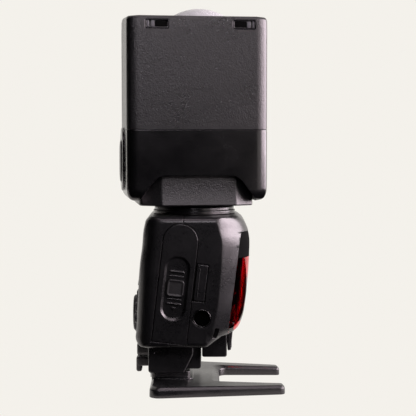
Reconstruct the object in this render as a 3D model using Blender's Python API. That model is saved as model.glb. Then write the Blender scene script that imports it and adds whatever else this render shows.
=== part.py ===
"""Speedlight flash on a fork-shaped mini stand.

The origin is where the head's swivel axis meets the table. +X is the flash's front,
+Y its right-hand side and +Z is up. Lengths are in millimetres and angles in degrees;
add_piece turns them into Blender's metres.
"""
import math

import bmesh
import bpy
from mathutils import Vector

MM = 0.001
GAP = 0.3
WALL = 2.0
STEPS = 4

# Mini stand
STAND_REAR = -23.0
STAND_TIP = 48.0
STAND_REAR_HALF = 39.0
STAND_TIP_HALF = 28.5
NOTCH_HALF = 20.5
NOTCH_ROOT = 13.8
NOTCH_TOP_ROOT = 9.5
STAND_THICK = 5.75
TIP_THICK = 4.7
STAND_CHAMFER = 1.6
SHOE_X = -14.7
SHOE_FRONT = -5.2
RAIL_FRONT = -2.0
RAIL_TOP = 9.4
RAIL_HALF = 13.0
SLOT_FLOOR = 5.0
SLOT_TOP = 7.5
SLOT_HALF = 9.6
LIP_HALF = 6.2
INSERT_TOP = 3.3
INSERT_RADIUS = 4.6
INSERT_BORE = 3.15

# Mounting foot
PLATE_REAR = -23.7
PLATE_FRONT = -5.7
PLATE_HALF = 9.3
PLATE_BOTTOM = 5.3
PLATE_TOP = 7.2
POST_REAR = -20.6
POST_FRONT = -8.8
POST_HALF = 5.5
POST_TOP = 16.7
BLOCK_BOTTOM = 9.8
BLOCK_TOP = 25.7
BLOCK_HALF = 21.0
BLOCK_REAR = -24.2
BLOCK_FRONT = -0.4
BLOCK_TOE = -5.2
BLOCK_KNEE = 19.8
BOSS_FRONT = 3.8
BOSS_LOW = 10.7
BOSS_HIGH = 25.2
BOSS_HALF = 14.0
HUB_BORE = 8.3
HUB_RADIUS = 10.2
LEVER_LOW = 10.2
LEVER_HIGH = 15.2
LEVER_SWEEP = 17.6
TAB_ROOT = 9.4
TAB_REAR = -31.6
TAB_HALF = 4.6
HOOK_FRONT = -28.6
HOOK_LOW = 7.2
RELEASE_REAR = -31.2
RELEASE_FRONT = -22.6
RELEASE_LOW = 16.5
RELEASE_HIGH = 22.5
RELEASE_GAP = 0.4
PIN_X = -11.3
PIN_Y = 3.2
PIN_LOW = 3.9
PIN_NECK = 17.6
PIN_TOP = 20.0
PIN_RADIUS = 1.0
PIN_HEAD = 1.6
PIN_CLEAR = 1.5
CONTACT_RADIUS = 0.9
CONTACT_LOW = 5.5
CONTACT_HIGH = 6.0
CONTACTS = ((SHOE_X, 0.0), (-18.3, -3.4), (-18.3, 3.4), (PIN_X, -3.4))

# Body
BODY_TOP = 93.5
BODY_HALF = 37.0
FRONT_RADIUS = 15.0
REAR_RADIUS = 8.0
EDGE_RADIUS = 2.5
LEAN = math.radians(6.6)
SPLIT_X = -12.7
SPLIT_Z = 26.0
SEAM_HALF = 0.15
COLLAR_BORE = 10.5
WINDOW_TOP = 72.0
WINDOW_LOW = 32.8
WINDOW_TOP_X = 24.3
WINDOW_LOW_X = 19.2
# Side outline of the body: x, z, plan radius of that edge, and how far its end drops in
BODY_SIDE = (
    (-25.5, 26.0, 4.0, 1.0), (-30.2, 29.8, REAR_RADIUS, 1.0), (-29.6, 40.0, REAR_RADIUS, 0.0),
    (-28.9, 53.6, REAR_RADIUS, 0.0), (-27.9, 69.2, REAR_RADIUS, 0.0), (-26.8, 77.5, REAR_RADIUS, 0.0),
    (-25.4, 89.5, REAR_RADIUS, 0.5), (-24.6, 92.0, REAR_RADIUS, 1.5), (-22.5, BODY_TOP, 7.0, EDGE_RADIUS),
    (0.0, 93.6, 0.0, EDGE_RADIUS), (22.5, BODY_TOP, 11.0, EDGE_RADIUS), (25.9, 91.4, 13.5, 1.5),
    (28.2, 87.4, FRONT_RADIUS, 0.5), (29.4, 83.0, FRONT_RADIUS, 0.0), (29.6, 73.0, FRONT_RADIUS, 0.0),
    (28.6, 57.9, FRONT_RADIUS, 0.0), (27.5, 47.3, FRONT_RADIUS, 0.0), (25.9, 38.9, FRONT_RADIUS, 0.0),
    (23.6, 34.2, 14.0, -0.5), (20.5, 32.1, 12.0, -1.5), (16.5, 31.2, 5.0, -EDGE_RADIUS),
    (5.5, 26.0, 0.0, -EDGE_RADIUS),
)
BODY_STATIONS = (0.0, 0.7, 2.3, 4.4, 8.0, 15.0)

# Battery door, in a frame that leans with the body
DOOR_X = -12.6
DOOR_Z = 29.0
DOOR_HALF = 9.1
DOOR_TOP = 61.8
DOOR_THICK = 2.4
DOOR_LOW = -0.3
HINGE_UP = 2.0
PILL_HALF = 6.7
PILL_LOW = 11.2
PILL_HIGH = 45.2
PILL_DEPTH = 1.2
LATCH_HALF = 4.5
LATCH_LOW = 23.8
LATCH_HIGH = 32.8
LATCH_THICK = 0.9
STRIP_HALF = 5.0
STRIP_LOW = 2.5
STRIP_HIGH = 54.0
STRIP_THICK = 0.5
CELL_RADIUS = 7.0
CELL_LENGTH = 49.5
CELL_PITCH = 15.0
CELL_FIRST = 8.6
CELL_COUNT = 4
CELL_GAP = 1.2
NUB_RADIUS = 2.7
NUB_LENGTH = 1.5
HOLDER_HALF = 8.4
HOLDER_LOW = 0.8
HOLDER_HIGH = 61.5
HOLDER_INSET = 4.0

# Side ports
TERMINAL_X = 3.8
TERMINAL_Z = 59.9
TERMINAL_HALF = 2.8
TERMINAL_TALL = 9.4
TERMINAL_BACK = -35.5
TERMINAL_PROUD = 0.3
PORT_HALF = 2.3
PORT_TALL = 8.6
PORT_FRONT = -35.2
PORT_BACK = -27.0
SOCKET = (4.4, 41.6)
SOCKET_RADIUS = 4.6
SOCKET_BORE = 4.1
SOCKET_FRONT = -37.2
SOCKET_FLOOR = -32.0
SOCKET_BACK = -30.0

# Rear controls
PANEL_X = -29.3
PANEL_Z = 57.0
PANEL_THICK = 2.0
PANEL_TALL = 31.6
PANEL_HALF = 24.1
PANEL_LOW = 56.4
PANEL_HIGH = 88.9
KEY_INSIDE = -26.0
FUNCTION_Y = (-19.5, -6.5, 6.5, 19.5)
FUNCTION_LOW = 50.1
FUNCTION_HIGH = 54.2
FUNCTION_HALF = 4.4
FUNCTION_FACE = -29.9
KEY_GAP = 0.4
ROUND_KEYS = {"test_button": (-16.5, 44.5), "mode_button": (-25.0, 40.0), "wireless_button": (-17.0, 34.0)}
ROUND_RADIUS = 2.7
ROUND_FACE = -31.0
DIAL_Z = 39.1
DIAL_RADIUS = 9.8
DIAL_BORE = 5.9
DIAL_BACK = -30.5
DIAL_FACE = -32.9
DIAL_STEM = 3.0
SET_RADIUS = 5.5
SET_BACK = -31.0
SET_STEM = 2.5
SWITCH_Y = 22.0
SWITCH_RADIUS = 5.6
SWITCH_FACE = -32.0
SWITCH_NUB_HALF = 1.1
SWITCH_NUB_TOP = 7.2
SWITCH_STEM = 1.8
STEM_GAP = 0.4

# Inside the body
BOARD_X = -24.6
BOARD_Z = 31.5
BOARD_THICK = 1.2
BOARD_TALL = 56.0
BOARD_HALF = 30.0
CAPACITOR = (13.0, 64.5)
CAPACITOR_RADIUS = 8.8
CAPACITOR_NEAR = -24.0
CAPACITOR_FAR = 21.8
LAMP_REAR = 10.0
LAMP_FRONT = 19.0
LAMP_HALF = 14.0
LAMP_LOW = 38.5
LAMP_HIGH = 53.0
LAMP_Y = 6.5
LAMP_Z = 46.0
LAMP_RADIUS = 4.0
LAMP_TIP = 22.5

# Contact housing under the front of the body
HOUSING_REAR = 4.3
HOUSING_KNEE = 5.6
HOUSING_FRONT = 17.6
HOUSING_LOW = 17.4
HOUSING_HALF = 16.0
HOUSING_SIDE = (
    (HOUSING_REAR, 25.6, 0), (HOUSING_REAR, HOUSING_LOW, 1.0), (HOUSING_FRONT, HOUSING_LOW, 1.0),
    (HOUSING_FRONT, 31.0, 0), (HOUSING_KNEE, 25.6, 0),
)
COVER_SIDE = ((18.0, 20.0, 0.5), (19.8, 20.6, 0.5), (20.8, 31.4, 0), (18.0, 31.0, 0))
COVER_HALF = 13.0

# Neck and head, in a frame turned about the swivel axis
HEAD_TURN = math.radians(7.5)
HEAD_SHIFT = -1.2
COLLAR_RADIUS = 22.2
COLLAR_INSIDE = 11.0
COLLAR_LOW = 93.9
COLLAR_TOP = 98.5
COLLAR_STEPS = ((COLLAR_RADIUS, 95.8), (21.4, 96.3), (21.4, 97.4), (20.6, COLLAR_TOP))
SHAFT_RADIUS = 9.6
SHAFT_BORE = 5.0
SHAFT_LOW = 91.0
SHAFT_TOP = 105.5
PIVOT_Z = 124.0
AXLE_RADIUS = 3.5
AXLE_HALF = 34.0
NECK_LOW = 98.8
NECK_X = 30.0
NECK_NEAR = -25.5
NECK_FAR = 21.5
NECK_HOLLOW = (-24.0, 24.0, -20.5, 17.0)
NECK_FLOOR = 104.0
DRUM_RADIUS = 25.5
EAR_X = 30.8
HEAD_X = 36.9
HEAD_NEAR = -28.0
HEAD_FAR = 24.5
HEAD_LOW = 101.5
HEAD_SEAM = 138.6
HEAD_TOP = 198.0
HEAD_SHOULDER = 192.5
HEAD_RISE = 4.0
HEAD_RADIUS = 6.0
HEAD_CLEARANCE = 29.0
# Height, inset and corner radius of the rings that shape each half of the head
HEAD_REAR_RINGS = (
    (HEAD_LOW, 3.6, 3.0), (102.6, 1.6, 4.6), (104.6, 0.5, 5.6), (108.0, 0.0, HEAD_RADIUS),
    (HEAD_SEAM - SEAM_HALF, 0.0, HEAD_RADIUS),
)
HEAD_FRONT_RINGS = (
    (HEAD_SEAM + SEAM_HALF, 0.0, HEAD_RADIUS), (HEAD_SHOULDER, 0.0, HEAD_RADIUS), (196.0, 0.7, 5.4),
    (HEAD_TOP, 2.4, 4.0),
)
ARCH_TOP = 114.8
ARCH_FLAT = 21.0
SLOT_HIGH = 150.5
SLOT_NEAR = 10.0
POCKET_X = 22.8
POCKET_HALF = 6.15
POCKET_LOW = 190.3
POCKET_HIGH = 195.5
POCKET_DEPTH = 1.4
COVER_OVAL = (11.5, 106.0, 140.0)
COVER_HOLE = (7.8, 110.4, 133.6)
COVER_NEAR = 0.3
COVER_PROUD = 1.4
RELEASE_OVAL = (7.4, 110.8, 133.2)
RELEASE_NEAR = 1.1
RELEASE_PROUD = 2.0
RELEASE_BORE = 3.1
RELEASE_Z = 122.0
PLATE_X = 33.5
PLATE_NEAR = -21.0
PLATE_FAR = 19.8
PLATE_LOW = 194.5
PLATE_HIGH = 197.6
LENS_CENTRE = (3.4, -1.5)
LENS_RADIUS = 26.9
LENS_TOP = 203.4
LENS_ANGLE = 47.0
LENS_STEP = 9.0
LENS_RINGS = 6

# Inside the head
SHEET_HALF = 28.0
SHEET_LOW = 152.5
SHEET_HIGH = 191.5
PANEL_SHEET = (-25.6, -24.7)
CARD_SHEET = (-24.2, -23.5)
REFLECTOR_HALF = 23.0
REFLECTOR_SIDE = (
    (13.5, 175.0), (11.6, 165.0), (7.0, 157.5), (-7.0, 157.5), (-11.6, 165.0), (-13.5, 175.0),
    (-12.5, 175.0), (-10.7, 165.6), (-6.4, 158.6), (6.4, 158.6), (10.7, 165.6), (12.5, 175.0),
)
TUBE_RADIUS = 2.0
TUBE_HALF = 24.0
TUBE_Z = 163.0
CARRIAGE_LOW = 166.0
CARRIAGE_HIGH = 168.0
CARRIAGE_LEFT = -27.0
CARRIAGE_RIGHT = 33.5
CARRIAGE_HALF = 16.0
CARRIAGE_HOLE_X = 23.5
CARRIAGE_HOLE_Y = 13.0
SCREW_X = 31.0
SCREW_RADIUS = 1.5
SCREW_LOW = 163.4
SCREW_TOP = 190.0
MOTOR_SIDE = ((3.2, 151.5), (3.2, 162.4), (1.2, 162.4), (1.2, 163.0))
TRIGGER_HALF = 24.0
TRIGGER_LOW = 153.0
TRIGGER_NEAR = 18.6
TRIGGER_FAR = 20.0

# Longer than any piece, for solids that only cut
FAR = 60.0

# Finishes: colour, roughness and metallic
PLAIN = ((0.5, 0.5, 0.5), 0.5, 0.0)
BLACK = ((0.022, 0.022, 0.026), 0.55, 0.0)
GRIP = ((0.03, 0.03, 0.034), 0.7, 0.0)
KEY = ((0.045, 0.045, 0.05), 0.6, 0.0)
STEEL = ((0.62, 0.62, 0.64), 0.32, 1.0)
BRASS = ((0.78, 0.6, 0.28), 0.35, 1.0)
RED = ((0.32, 0.01, 0.02), 0.12, 0.0)
CLEAR = ((0.82, 0.8, 0.88), 0.08, 0.0)
WHITE = ((0.85, 0.85, 0.83), 0.5, 0.0)
GREEN = ((0.05, 0.2, 0.1), 0.5, 0.0)
CELL = ((0.16, 0.17, 0.2), 0.4, 0.2)
GLASS_DARK = ((0.03, 0.035, 0.04), 0.1, 0.0)


def clear_scene():
    for item in list(bpy.data.objects):
        bpy.data.objects.remove(item, do_unlink=True)


def make_material(name, colour, roughness, metallic=0.0):
    material = bpy.data.materials.new(name)
    material.use_nodes = True
    shader = material.node_tree.nodes["Principled BSDF"]
    shader.inputs["Base Color"].default_value = (*colour, 1.0)
    shader.inputs["Roughness"].default_value = roughness
    shader.inputs["Metallic"].default_value = metallic
    return material


def add_piece(name, bm, finish, parent=None, pivot=(0.0, 0.0, 0.0)):
    """Turns a bmesh in millimetres into an object whose origin is at pivot."""
    colour, roughness, metallic = finish
    bmesh.ops.recalc_face_normals(bm, faces=bm.faces)
    bmesh.ops.translate(bm, verts=bm.verts, vec=-Vector(pivot))
    bmesh.ops.scale(bm, verts=bm.verts, vec=(MM, MM, MM))
    mesh = bpy.data.meshes.new(name)
    bm.to_mesh(mesh)
    bm.free()
    mesh.shade_smooth()
    mesh.set_sharp_from_angle(angle=math.radians(30.0))
    mesh.materials.append(make_material(name, colour, roughness, metallic))
    piece = bpy.data.objects.new(name, mesh)
    bpy.context.collection.objects.link(piece)
    piece.location = Vector(pivot) * MM
    piece.parent = parent
    return piece


def combine(piece, bm, operation):
    """Adds a Boolean with a hidden solid that is given in the piece's parent's frame."""
    number = len(piece.modifiers)
    tool = add_piece(f"{piece.name}_tool_{number}", bm, PLAIN, piece.parent)
    tool.hide_render = True
    tool.display_type = "WIRE"
    modifier = piece.modifiers.new(f"{operation.lower()}_{number}", "BOOLEAN")
    modifier.operation = operation
    modifier.solver = "EXACT"
    modifier.object = tool


def cut(piece, bm):
    combine(piece, bm, "DIFFERENCE")


def join(piece, bm):
    combine(piece, bm, "UNION")


def keep(piece, bm):
    combine(piece, bm, "INTERSECT")


def loft(rings, closed=False):
    """Skins rings of equal length; the ends are capped unless the loft closes on itself."""
    bm = bmesh.new()
    loops = [[bm.verts.new(point) for point in ring] for ring in rings]
    pairs = list(zip(loops, loops[1:]))
    if closed:
        pairs.append((loops[-1], loops[0]))
    else:
        bm.faces.new(loops[0])
        bm.faces.new(loops[-1])
    for low, high in pairs:
        for i in range(len(low)):
            k = (i + 1) % len(low)
            bm.faces.new((low[i], low[k], high[k], high[i]))
    return bm


def place(axis, a, b, along):
    """A point from two outline coordinates and a distance along the axis."""
    if axis == "X":
        return Vector((along, a, b))
    if axis == "Y":
        return Vector((a, along, b))
    return Vector((a, b, along))


def prism(outline, low, high, axis="Z"):
    return loft([[place(axis, a, b, along) for a, b in outline] for along in (low, high)])


def box(x0, x1, y0, y1, z0, z1):
    return prism([(x0, y0), (x1, y0), (x1, y1), (x0, y1)], z0, z1)


def circle(radius, count, centre=(0.0, 0.0)):
    turns = [math.tau * (i + 0.5) / count for i in range(count)]
    return [(centre[0] + radius * math.cos(t), centre[1] + radius * math.sin(t)) for t in turns]


def rod(radius, low, high, centre, axis="Z", count=16):
    return prism(circle(radius, count, centre), low, high, axis)


def turned(profile, centre, axis="Z", count=24, tube=False):
    """Turns (radius, along) points about an axis; a tube's profile is a closed loop."""
    rings = []
    for radius, along in profile:
        rings.append([place(axis, a, b, along) for a, b in circle(radius, count, centre)])
    return loft(rings, closed=tube)


def fillet(corners, steps=STEPS):
    """Outline through (a, b, radius) corners, each rounded by an arc."""
    points = []
    for i, (a, b, radius) in enumerate(corners):
        here = Vector((a, b))
        if radius == 0:
            points.append(here)
            continue
        before = (Vector(corners[i - 1][:2]) - here).normalized()
        after = (Vector(corners[(i + 1) % len(corners)][:2]) - here).normalized()
        half = before.angle(after) / 2
        centre = here + (before + after).normalized() * radius / math.sin(half)
        start = here + before * radius / math.tan(half) - centre
        end = here + after * radius / math.tan(half) - centre
        sweep = math.pi - 2 * half
        for k in range(steps + 1):
            t = sweep * k / steps
            points.append(centre + (start * math.sin(sweep - t) + end * math.sin(t)) / math.sin(sweep))
    return points


def rounded(a0, a1, b0, b1, radius, steps=STEPS):
    return fillet([(a0, b0, radius), (a1, b0, radius), (a1, b1, radius), (a0, b1, radius)], steps)


def leaning(v, u, x=DOOR_X, z=DOOR_Z):
    """World X and Z of a point v across and u up a frame that leans with the body."""
    return (x + v * math.cos(LEAN) + u * math.sin(LEAN), z - v * math.sin(LEAN) + u * math.cos(LEAN))


def lean_outline(outline, x=DOOR_X, z=DOOR_Z):
    return [leaning(v, u, x, z) for v, u in outline]


# ---------------------------------------------------------------- stand

def stand_height(x):
    slope = (STAND_THICK - TIP_THICK) / (STAND_TIP - NOTCH_ROOT)
    return STAND_THICK - slope * max(0.0, x - NOTCH_ROOT)


def make_stand():
    outline = fillet([
        (STAND_REAR, -STAND_REAR_HALF, 5), (STAND_TIP, -STAND_TIP_HALF, 3),
        (STAND_TIP, -NOTCH_HALF, 2), (NOTCH_ROOT, -NOTCH_HALF, 5),
        (NOTCH_ROOT, NOTCH_HALF, 5), (STAND_TIP, NOTCH_HALF, 2),
        (STAND_TIP, STAND_TIP_HALF, 3), (STAND_REAR, STAND_REAR_HALF, 5),
    ])
    rear = STAND_REAR + STAND_CHAMFER
    tip = STAND_TIP - STAND_CHAMFER
    wide = STAND_REAR_HALF - STAND_CHAMFER
    leg = STAND_TIP_HALF - STAND_CHAMFER
    notch = NOTCH_HALF + STAND_CHAMFER
    top = fillet([
        (rear, -wide, 4), (tip, -leg, 1.5), (tip, -notch, 1), (NOTCH_TOP_ROOT, -notch, 6),
        (NOTCH_TOP_ROOT, notch, 6), (tip, notch, 1), (tip, leg, 1.5), (rear, wide, 4),
    ])
    rings = [
        [(x, y, 0.0) for x, y in outline],
        [(x, y, stand_height(x) - STAND_CHAMFER) for x, y in outline],
        [(x, y, stand_height(x)) for x, y in top],
    ]
    behind = STAND_REAR - 3
    through = SLOT_FLOOR + 1
    stand = add_piece("stand_base", loft(rings), BLACK)
    join(stand, prism(rounded(STAND_REAR, RAIL_FRONT, -RAIL_HALF, RAIL_HALF, 2.0, 3), 3.0, RAIL_TOP))
    cut(stand, box(behind, SHOE_FRONT, -SLOT_HALF, SLOT_HALF, SLOT_FLOOR, SLOT_TOP))
    cut(stand, box(behind, SHOE_FRONT - 1.5, -LIP_HALF, LIP_HALF, SLOT_TOP - 1, RAIL_TOP + 3))
    cut(stand, box(behind, PIN_X + PIN_CLEAR, PIN_Y - PIN_CLEAR, PIN_Y + PIN_CLEAR, PIN_LOW - GAP, through))
    cut(stand, rod(INSERT_RADIUS + GAP, -1, INSERT_TOP + GAP, (SHOE_X, 0)))
    cut(stand, rod(INSERT_BORE, 1, through, (SHOE_X, 0)))
    bore = [(INSERT_BORE, 0.0), (INSERT_RADIUS, 0.0), (INSERT_RADIUS, INSERT_TOP), (INSERT_BORE, INSERT_TOP)]
    add_piece("tripod_insert", turned(bore, (SHOE_X, 0), count=16, tube=True), BRASS)


# ---------------------------------------------------------------- foot

def make_foot():
    plate = rounded(PLATE_REAR, PLATE_FRONT, -PLATE_HALF, PLATE_HALF, 1, 2)
    foot = add_piece("shoe_foot", prism(plate, PLATE_BOTTOM, PLATE_TOP), STEEL)
    post = rounded(POST_REAR, POST_FRONT, -POST_HALF, POST_HALF, 2, 2)
    join(foot, prism(post, PLATE_TOP - 1, POST_TOP))
    cut(foot, rod(PIN_RADIUS + GAP, PIN_LOW, POST_TOP + 1, (PIN_X, PIN_Y), count=12))
    for number, centre in enumerate(CONTACTS, start=1):
        cut(foot, rod(CONTACT_RADIUS + KEY_GAP, PIN_LOW, CONTACT_HIGH + GAP, centre, count=12))
        contact = rod(CONTACT_RADIUS, CONTACT_LOW, CONTACT_HIGH, centre, count=10)
        add_piece(f"foot_contact_{number}", contact, BRASS)
    pin = [(PIN_RADIUS, PIN_LOW), (PIN_RADIUS, PIN_NECK), (PIN_HEAD, PIN_NECK), (PIN_HEAD, PIN_TOP)]
    add_piece("lock_pin", turned(pin, (PIN_X, PIN_Y), count=12), STEEL)


def make_foot_block():
    side = fillet([
        (BLOCK_REAR, BLOCK_TOP, 0), (BLOCK_REAR, BLOCK_BOTTOM, 1.5), (BLOCK_TOE, BLOCK_BOTTOM, 1),
        (BLOCK_FRONT, BLOCK_KNEE, 1), (BLOCK_FRONT, BLOCK_TOP, 0),
    ], 2)
    block = add_piece("foot_block", prism(side, -BLOCK_HALF, BLOCK_HALF, "Y"), BLACK)
    boss = rounded(BLOCK_TOE, BOSS_FRONT, BOSS_LOW, BOSS_HIGH, 1.5, 2)
    join(block, prism(boss, -BOSS_HALF, BOSS_HALF, "Y"))
    below = BLOCK_BOTTOM - 1
    cut(block, rod(HUB_RADIUS + KEY_GAP, below, POST_TOP + GAP, (SHOE_X, 0), count=24))
    half_turn = [math.radians(90 + 15 * i) for i in range(13)]
    sweep = [(SHOE_X + LEVER_SWEEP * math.cos(t), LEVER_SWEEP * math.sin(t)) for t in half_turn]
    cut(block, prism(sweep, below, LEVER_HIGH + GAP))
    wide = TAB_HALF + 0.7
    cut(block, box(BLOCK_REAR - 2, RELEASE_FRONT + 2.1, -wide, wide,
                   RELEASE_LOW - RELEASE_GAP, RELEASE_HIGH + RELEASE_GAP))
    cut(block, rod(PIN_HEAD + 0.5, PIN_NECK - PIN_HEAD, BLOCK_TOP + 1, (PIN_X, PIN_Y), count=12))


def make_lock():
    pivot = (SHOE_X, 0.0, LEVER_LOW)
    hub = [(HUB_BORE, LEVER_LOW), (HUB_RADIUS, LEVER_LOW), (HUB_RADIUS, LEVER_HIGH), (HUB_BORE, LEVER_HIGH)]
    lever = add_piece("lock_lever", turned(hub, (SHOE_X, 0), tube=True), GRIP, pivot=pivot)
    root = SHOE_X - TAB_ROOT
    tab = fillet([(root, -4.0, 0), (root, 4.0, 0), (TAB_REAR, TAB_HALF, 1.5), (TAB_REAR, -TAB_HALF, 1.5)], 3)
    join(lever, prism(tab, LEVER_LOW, LEVER_HIGH))
    hook = rounded(TAB_REAR + 0.1, HOOK_FRONT, -TAB_HALF + GAP, TAB_HALF - GAP, 1.0, 2)
    join(lever, prism(hook, HOOK_LOW, LEVER_LOW + 1))
    release = rounded(-TAB_HALF, TAB_HALF, RELEASE_LOW, RELEASE_HIGH, 1.5, 3)
    add_piece("lock_release", prism(release, RELEASE_REAR, RELEASE_FRONT, "X"), KEY)


# ---------------------------------------------------------------- body

def edge_drop(radius, depth):
    """How far a round edge of this radius falls back at a depth behind the end face."""
    if depth >= radius:
        return 0.0
    return radius - math.sqrt(radius ** 2 - (radius - depth) ** 2)


def body_ring(y, depth, inset):
    ring = []
    for x, z, radius, drop in BODY_SIDE:
        inward = 1.0 if x < 0 else -1.0
        x_new = x + inward * (edge_drop(radius, depth) + inset)
        fall = edge_drop(EDGE_RADIUS, depth) * drop / EDGE_RADIUS
        if z <= 27.0:
            fall = -edge_drop(EDGE_RADIUS, depth)
        lift = inset if z < 35.0 else 0.0
        if z > 89.0:
            lift = -inset
        ring.append((x_new, y, z - fall + lift))
    return ring


def body_solid(inset=0.0):
    """The body's outer form, or the same form drawn in by a wall's thickness."""
    half = BODY_HALF - inset
    rings = [body_ring(-half + depth, depth, inset) for depth in BODY_STATIONS]
    rings += [body_ring(half - depth, depth, inset) for depth in reversed(BODY_STATIONS)]
    return loft(rings)


def half_space(front):
    """A leaning block on one side of the seam between the two body shells."""
    side = 1.0 if front else -1.0
    near = side * SEAM_HALF
    far = side * 2 * FAR
    outline = lean_outline([(near, -FAR), (near, 2 * FAR), (far, 2 * FAR), (far, -FAR)], SPLIT_X, SPLIT_Z)
    return prism(outline, -FAR, FAR, "Y")


def door_outline(grow=0.0):
    half = DOOR_HALF + grow
    arch = DOOR_TOP - DOOR_HALF
    turns = [math.pi * i / 12 for i in range(13)]
    points = [(half, DOOR_LOW - grow)]
    points += [(half * math.cos(t), arch + half * math.sin(t)) for t in turns]
    points.append((-half, DOOR_LOW - grow))
    return lean_outline(points)


def window_block(grow=0.0):
    outline = [
        (WINDOW_TOP_X - grow, WINDOW_TOP + grow), (WINDOW_LOW_X - grow, WINDOW_LOW - grow),
        (FAR, WINDOW_LOW - grow), (FAR, WINDOW_TOP + grow),
    ]
    return prism(outline, -FAR, FAR, "Y")


def terminal_outline(grow=0.0):
    half = TERMINAL_HALF + grow
    tall = TERMINAL_TALL + grow
    outline = [(-half, -tall), (half, -tall), (half, tall), (-half, tall)]
    return lean_outline(outline, TERMINAL_X, TERMINAL_Z)


def near_wall(outline):
    """A solid that opens the body's near wall along an outline."""
    return prism(outline, -FAR, SOCKET_BACK + 10, "Y")


def back_wall(outline):
    """A solid that opens the body's back wall along an outline."""
    return prism(outline, -FAR, -20, "X")


def make_shells():
    rear = add_piece("rear_shell", body_solid(), BLACK)
    front = add_piece("front_shell", body_solid(), BLACK)
    for shell in (rear, front):
        cut(shell, body_solid(WALL))
        keep(shell, half_space(shell is front))
        cut(shell, near_wall(door_outline(GAP)))
        cut(shell, rod(COLLAR_BORE, BODY_TOP - 5, BODY_TOP + 3, (0, 0), count=24))
    cut(front, window_block(GAP))
    cut(front, near_wall(terminal_outline(GAP)))
    cut(front, near_wall(circle(SOCKET_RADIUS + 0.35, 20, SOCKET)))
    cut(rear, back_wall(rounded(-PANEL_HALF - GAP, PANEL_HALF + GAP, PANEL_LOW, PANEL_HIGH, 0.3, 1)))
    wide = FUNCTION_HALF + KEY_GAP
    for y in FUNCTION_Y:
        low, high = FUNCTION_LOW - KEY_GAP, FUNCTION_HIGH + KEY_GAP
        cut(rear, back_wall(rounded(y - wide, y + wide, low, high, 1.0, 1)))
    cut(rear, back_wall(circle(DIAL_STEM, 16, (0, DIAL_Z))))
    cut(rear, back_wall(circle(SWITCH_STEM + STEM_GAP, 16, (SWITCH_Y, DIAL_Z))))
    for centre in ROUND_KEYS.values():
        cut(rear, back_wall(circle(ROUND_RADIUS + KEY_GAP, 16, centre)))
    window = add_piece("sensor_window", body_solid(), RED)
    cut(window, body_solid(WALL))
    keep(window, window_block())


def make_controls():
    panel = [(0.0, 0.0), (PANEL_THICK, 0.0), (PANEL_THICK, PANEL_TALL), (0.0, PANEL_TALL)]
    glass = prism(lean_outline(panel, PANEL_X, PANEL_Z), -PANEL_HALF, PANEL_HALF, "Y")
    add_piece("display_window", glass, GLASS_DARK)
    for number, y in enumerate(FUNCTION_Y, start=1):
        outline = rounded(y - FUNCTION_HALF, y + FUNCTION_HALF, FUNCTION_LOW, FUNCTION_HIGH, 0.8, 1)
        add_piece(f"function_button_{number}", prism(outline, FUNCTION_FACE, KEY_INSIDE, "X"), KEY)
    cap = [(ROUND_RADIUS, KEY_INSIDE), (ROUND_RADIUS, ROUND_FACE + 0.4), (ROUND_RADIUS - 0.4, ROUND_FACE)]
    for name, centre in ROUND_KEYS.items():
        add_piece(name, turned(cap, centre, "X", 16), KEY)

    rim = [
        (DIAL_BORE, DIAL_BACK), (DIAL_RADIUS, DIAL_BACK), (DIAL_RADIUS, DIAL_FACE + 0.7),
        (DIAL_RADIUS - 0.8, DIAL_FACE), (DIAL_BORE, DIAL_FACE),
    ]
    dial = turned(rim, (0, DIAL_Z), "X", 32, tube=True)
    add_piece("select_dial", dial, GRIP, pivot=(DIAL_BACK, 0, DIAL_Z))
    stem = [
        (SET_STEM, KEY_INSIDE), (SET_STEM, SET_BACK), (SET_RADIUS, SET_BACK),
        (SET_RADIUS, DIAL_FACE + 0.5), (SET_RADIUS - 0.6, DIAL_FACE),
    ]
    add_piece("set_button", turned(stem, (0, DIAL_Z), "X", 20), KEY)
    disc = [
        (SWITCH_STEM, KEY_INSIDE), (SWITCH_STEM, DIAL_BACK), (SWITCH_RADIUS, DIAL_BACK),
        (SWITCH_RADIUS, SWITCH_FACE + 0.4), (SWITCH_RADIUS - 0.6, SWITCH_FACE),
    ]
    switch = add_piece("power_switch", turned(disc, (SWITCH_Y, DIAL_Z), "X", 20), GRIP,
                       pivot=(DIAL_BACK, SWITCH_Y, DIAL_Z))
    nub = rounded(SWITCH_Y - SWITCH_NUB_HALF, SWITCH_Y + SWITCH_NUB_HALF,
                  DIAL_Z - 1.5, DIAL_Z + SWITCH_NUB_TOP, 1.0, 2)
    join(switch, prism(nub, SWITCH_FACE - 0.7, DIAL_BACK - 0.1, "X"))


def make_door():
    face = -BODY_HALF
    back = face + DOOR_THICK
    hinge = leaning(-DOOR_HALF, HINGE_UP)
    door = add_piece("battery_door", prism(door_outline(), face, back, "Y"), BLACK,
                     pivot=(hinge[0], face, hinge[1]))
    pill = lean_outline(rounded(-PILL_HALF, PILL_HALF, PILL_LOW, PILL_HIGH, PILL_HALF - 0.1, 5))
    cut(door, prism(pill, face - 3, face + PILL_DEPTH, "Y"))
    square = lean_outline(rounded(-LATCH_HALF, LATCH_HALF, LATCH_LOW, LATCH_HIGH, 1.6, 2))
    add_piece("door_latch", prism(square, face, face + LATCH_THICK, "Y"), GRIP)
    strip = lean_outline([(-STRIP_HALF, STRIP_LOW), (STRIP_HALF, STRIP_LOW),
                          (STRIP_HALF, STRIP_HIGH), (-STRIP_HALF, STRIP_HIGH)])
    add_piece("door_contact", prism(strip, back + GAP, back + GAP + STRIP_THICK, "Y"), BRASS)
    make_cells(back + CELL_GAP, strip)


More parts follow.
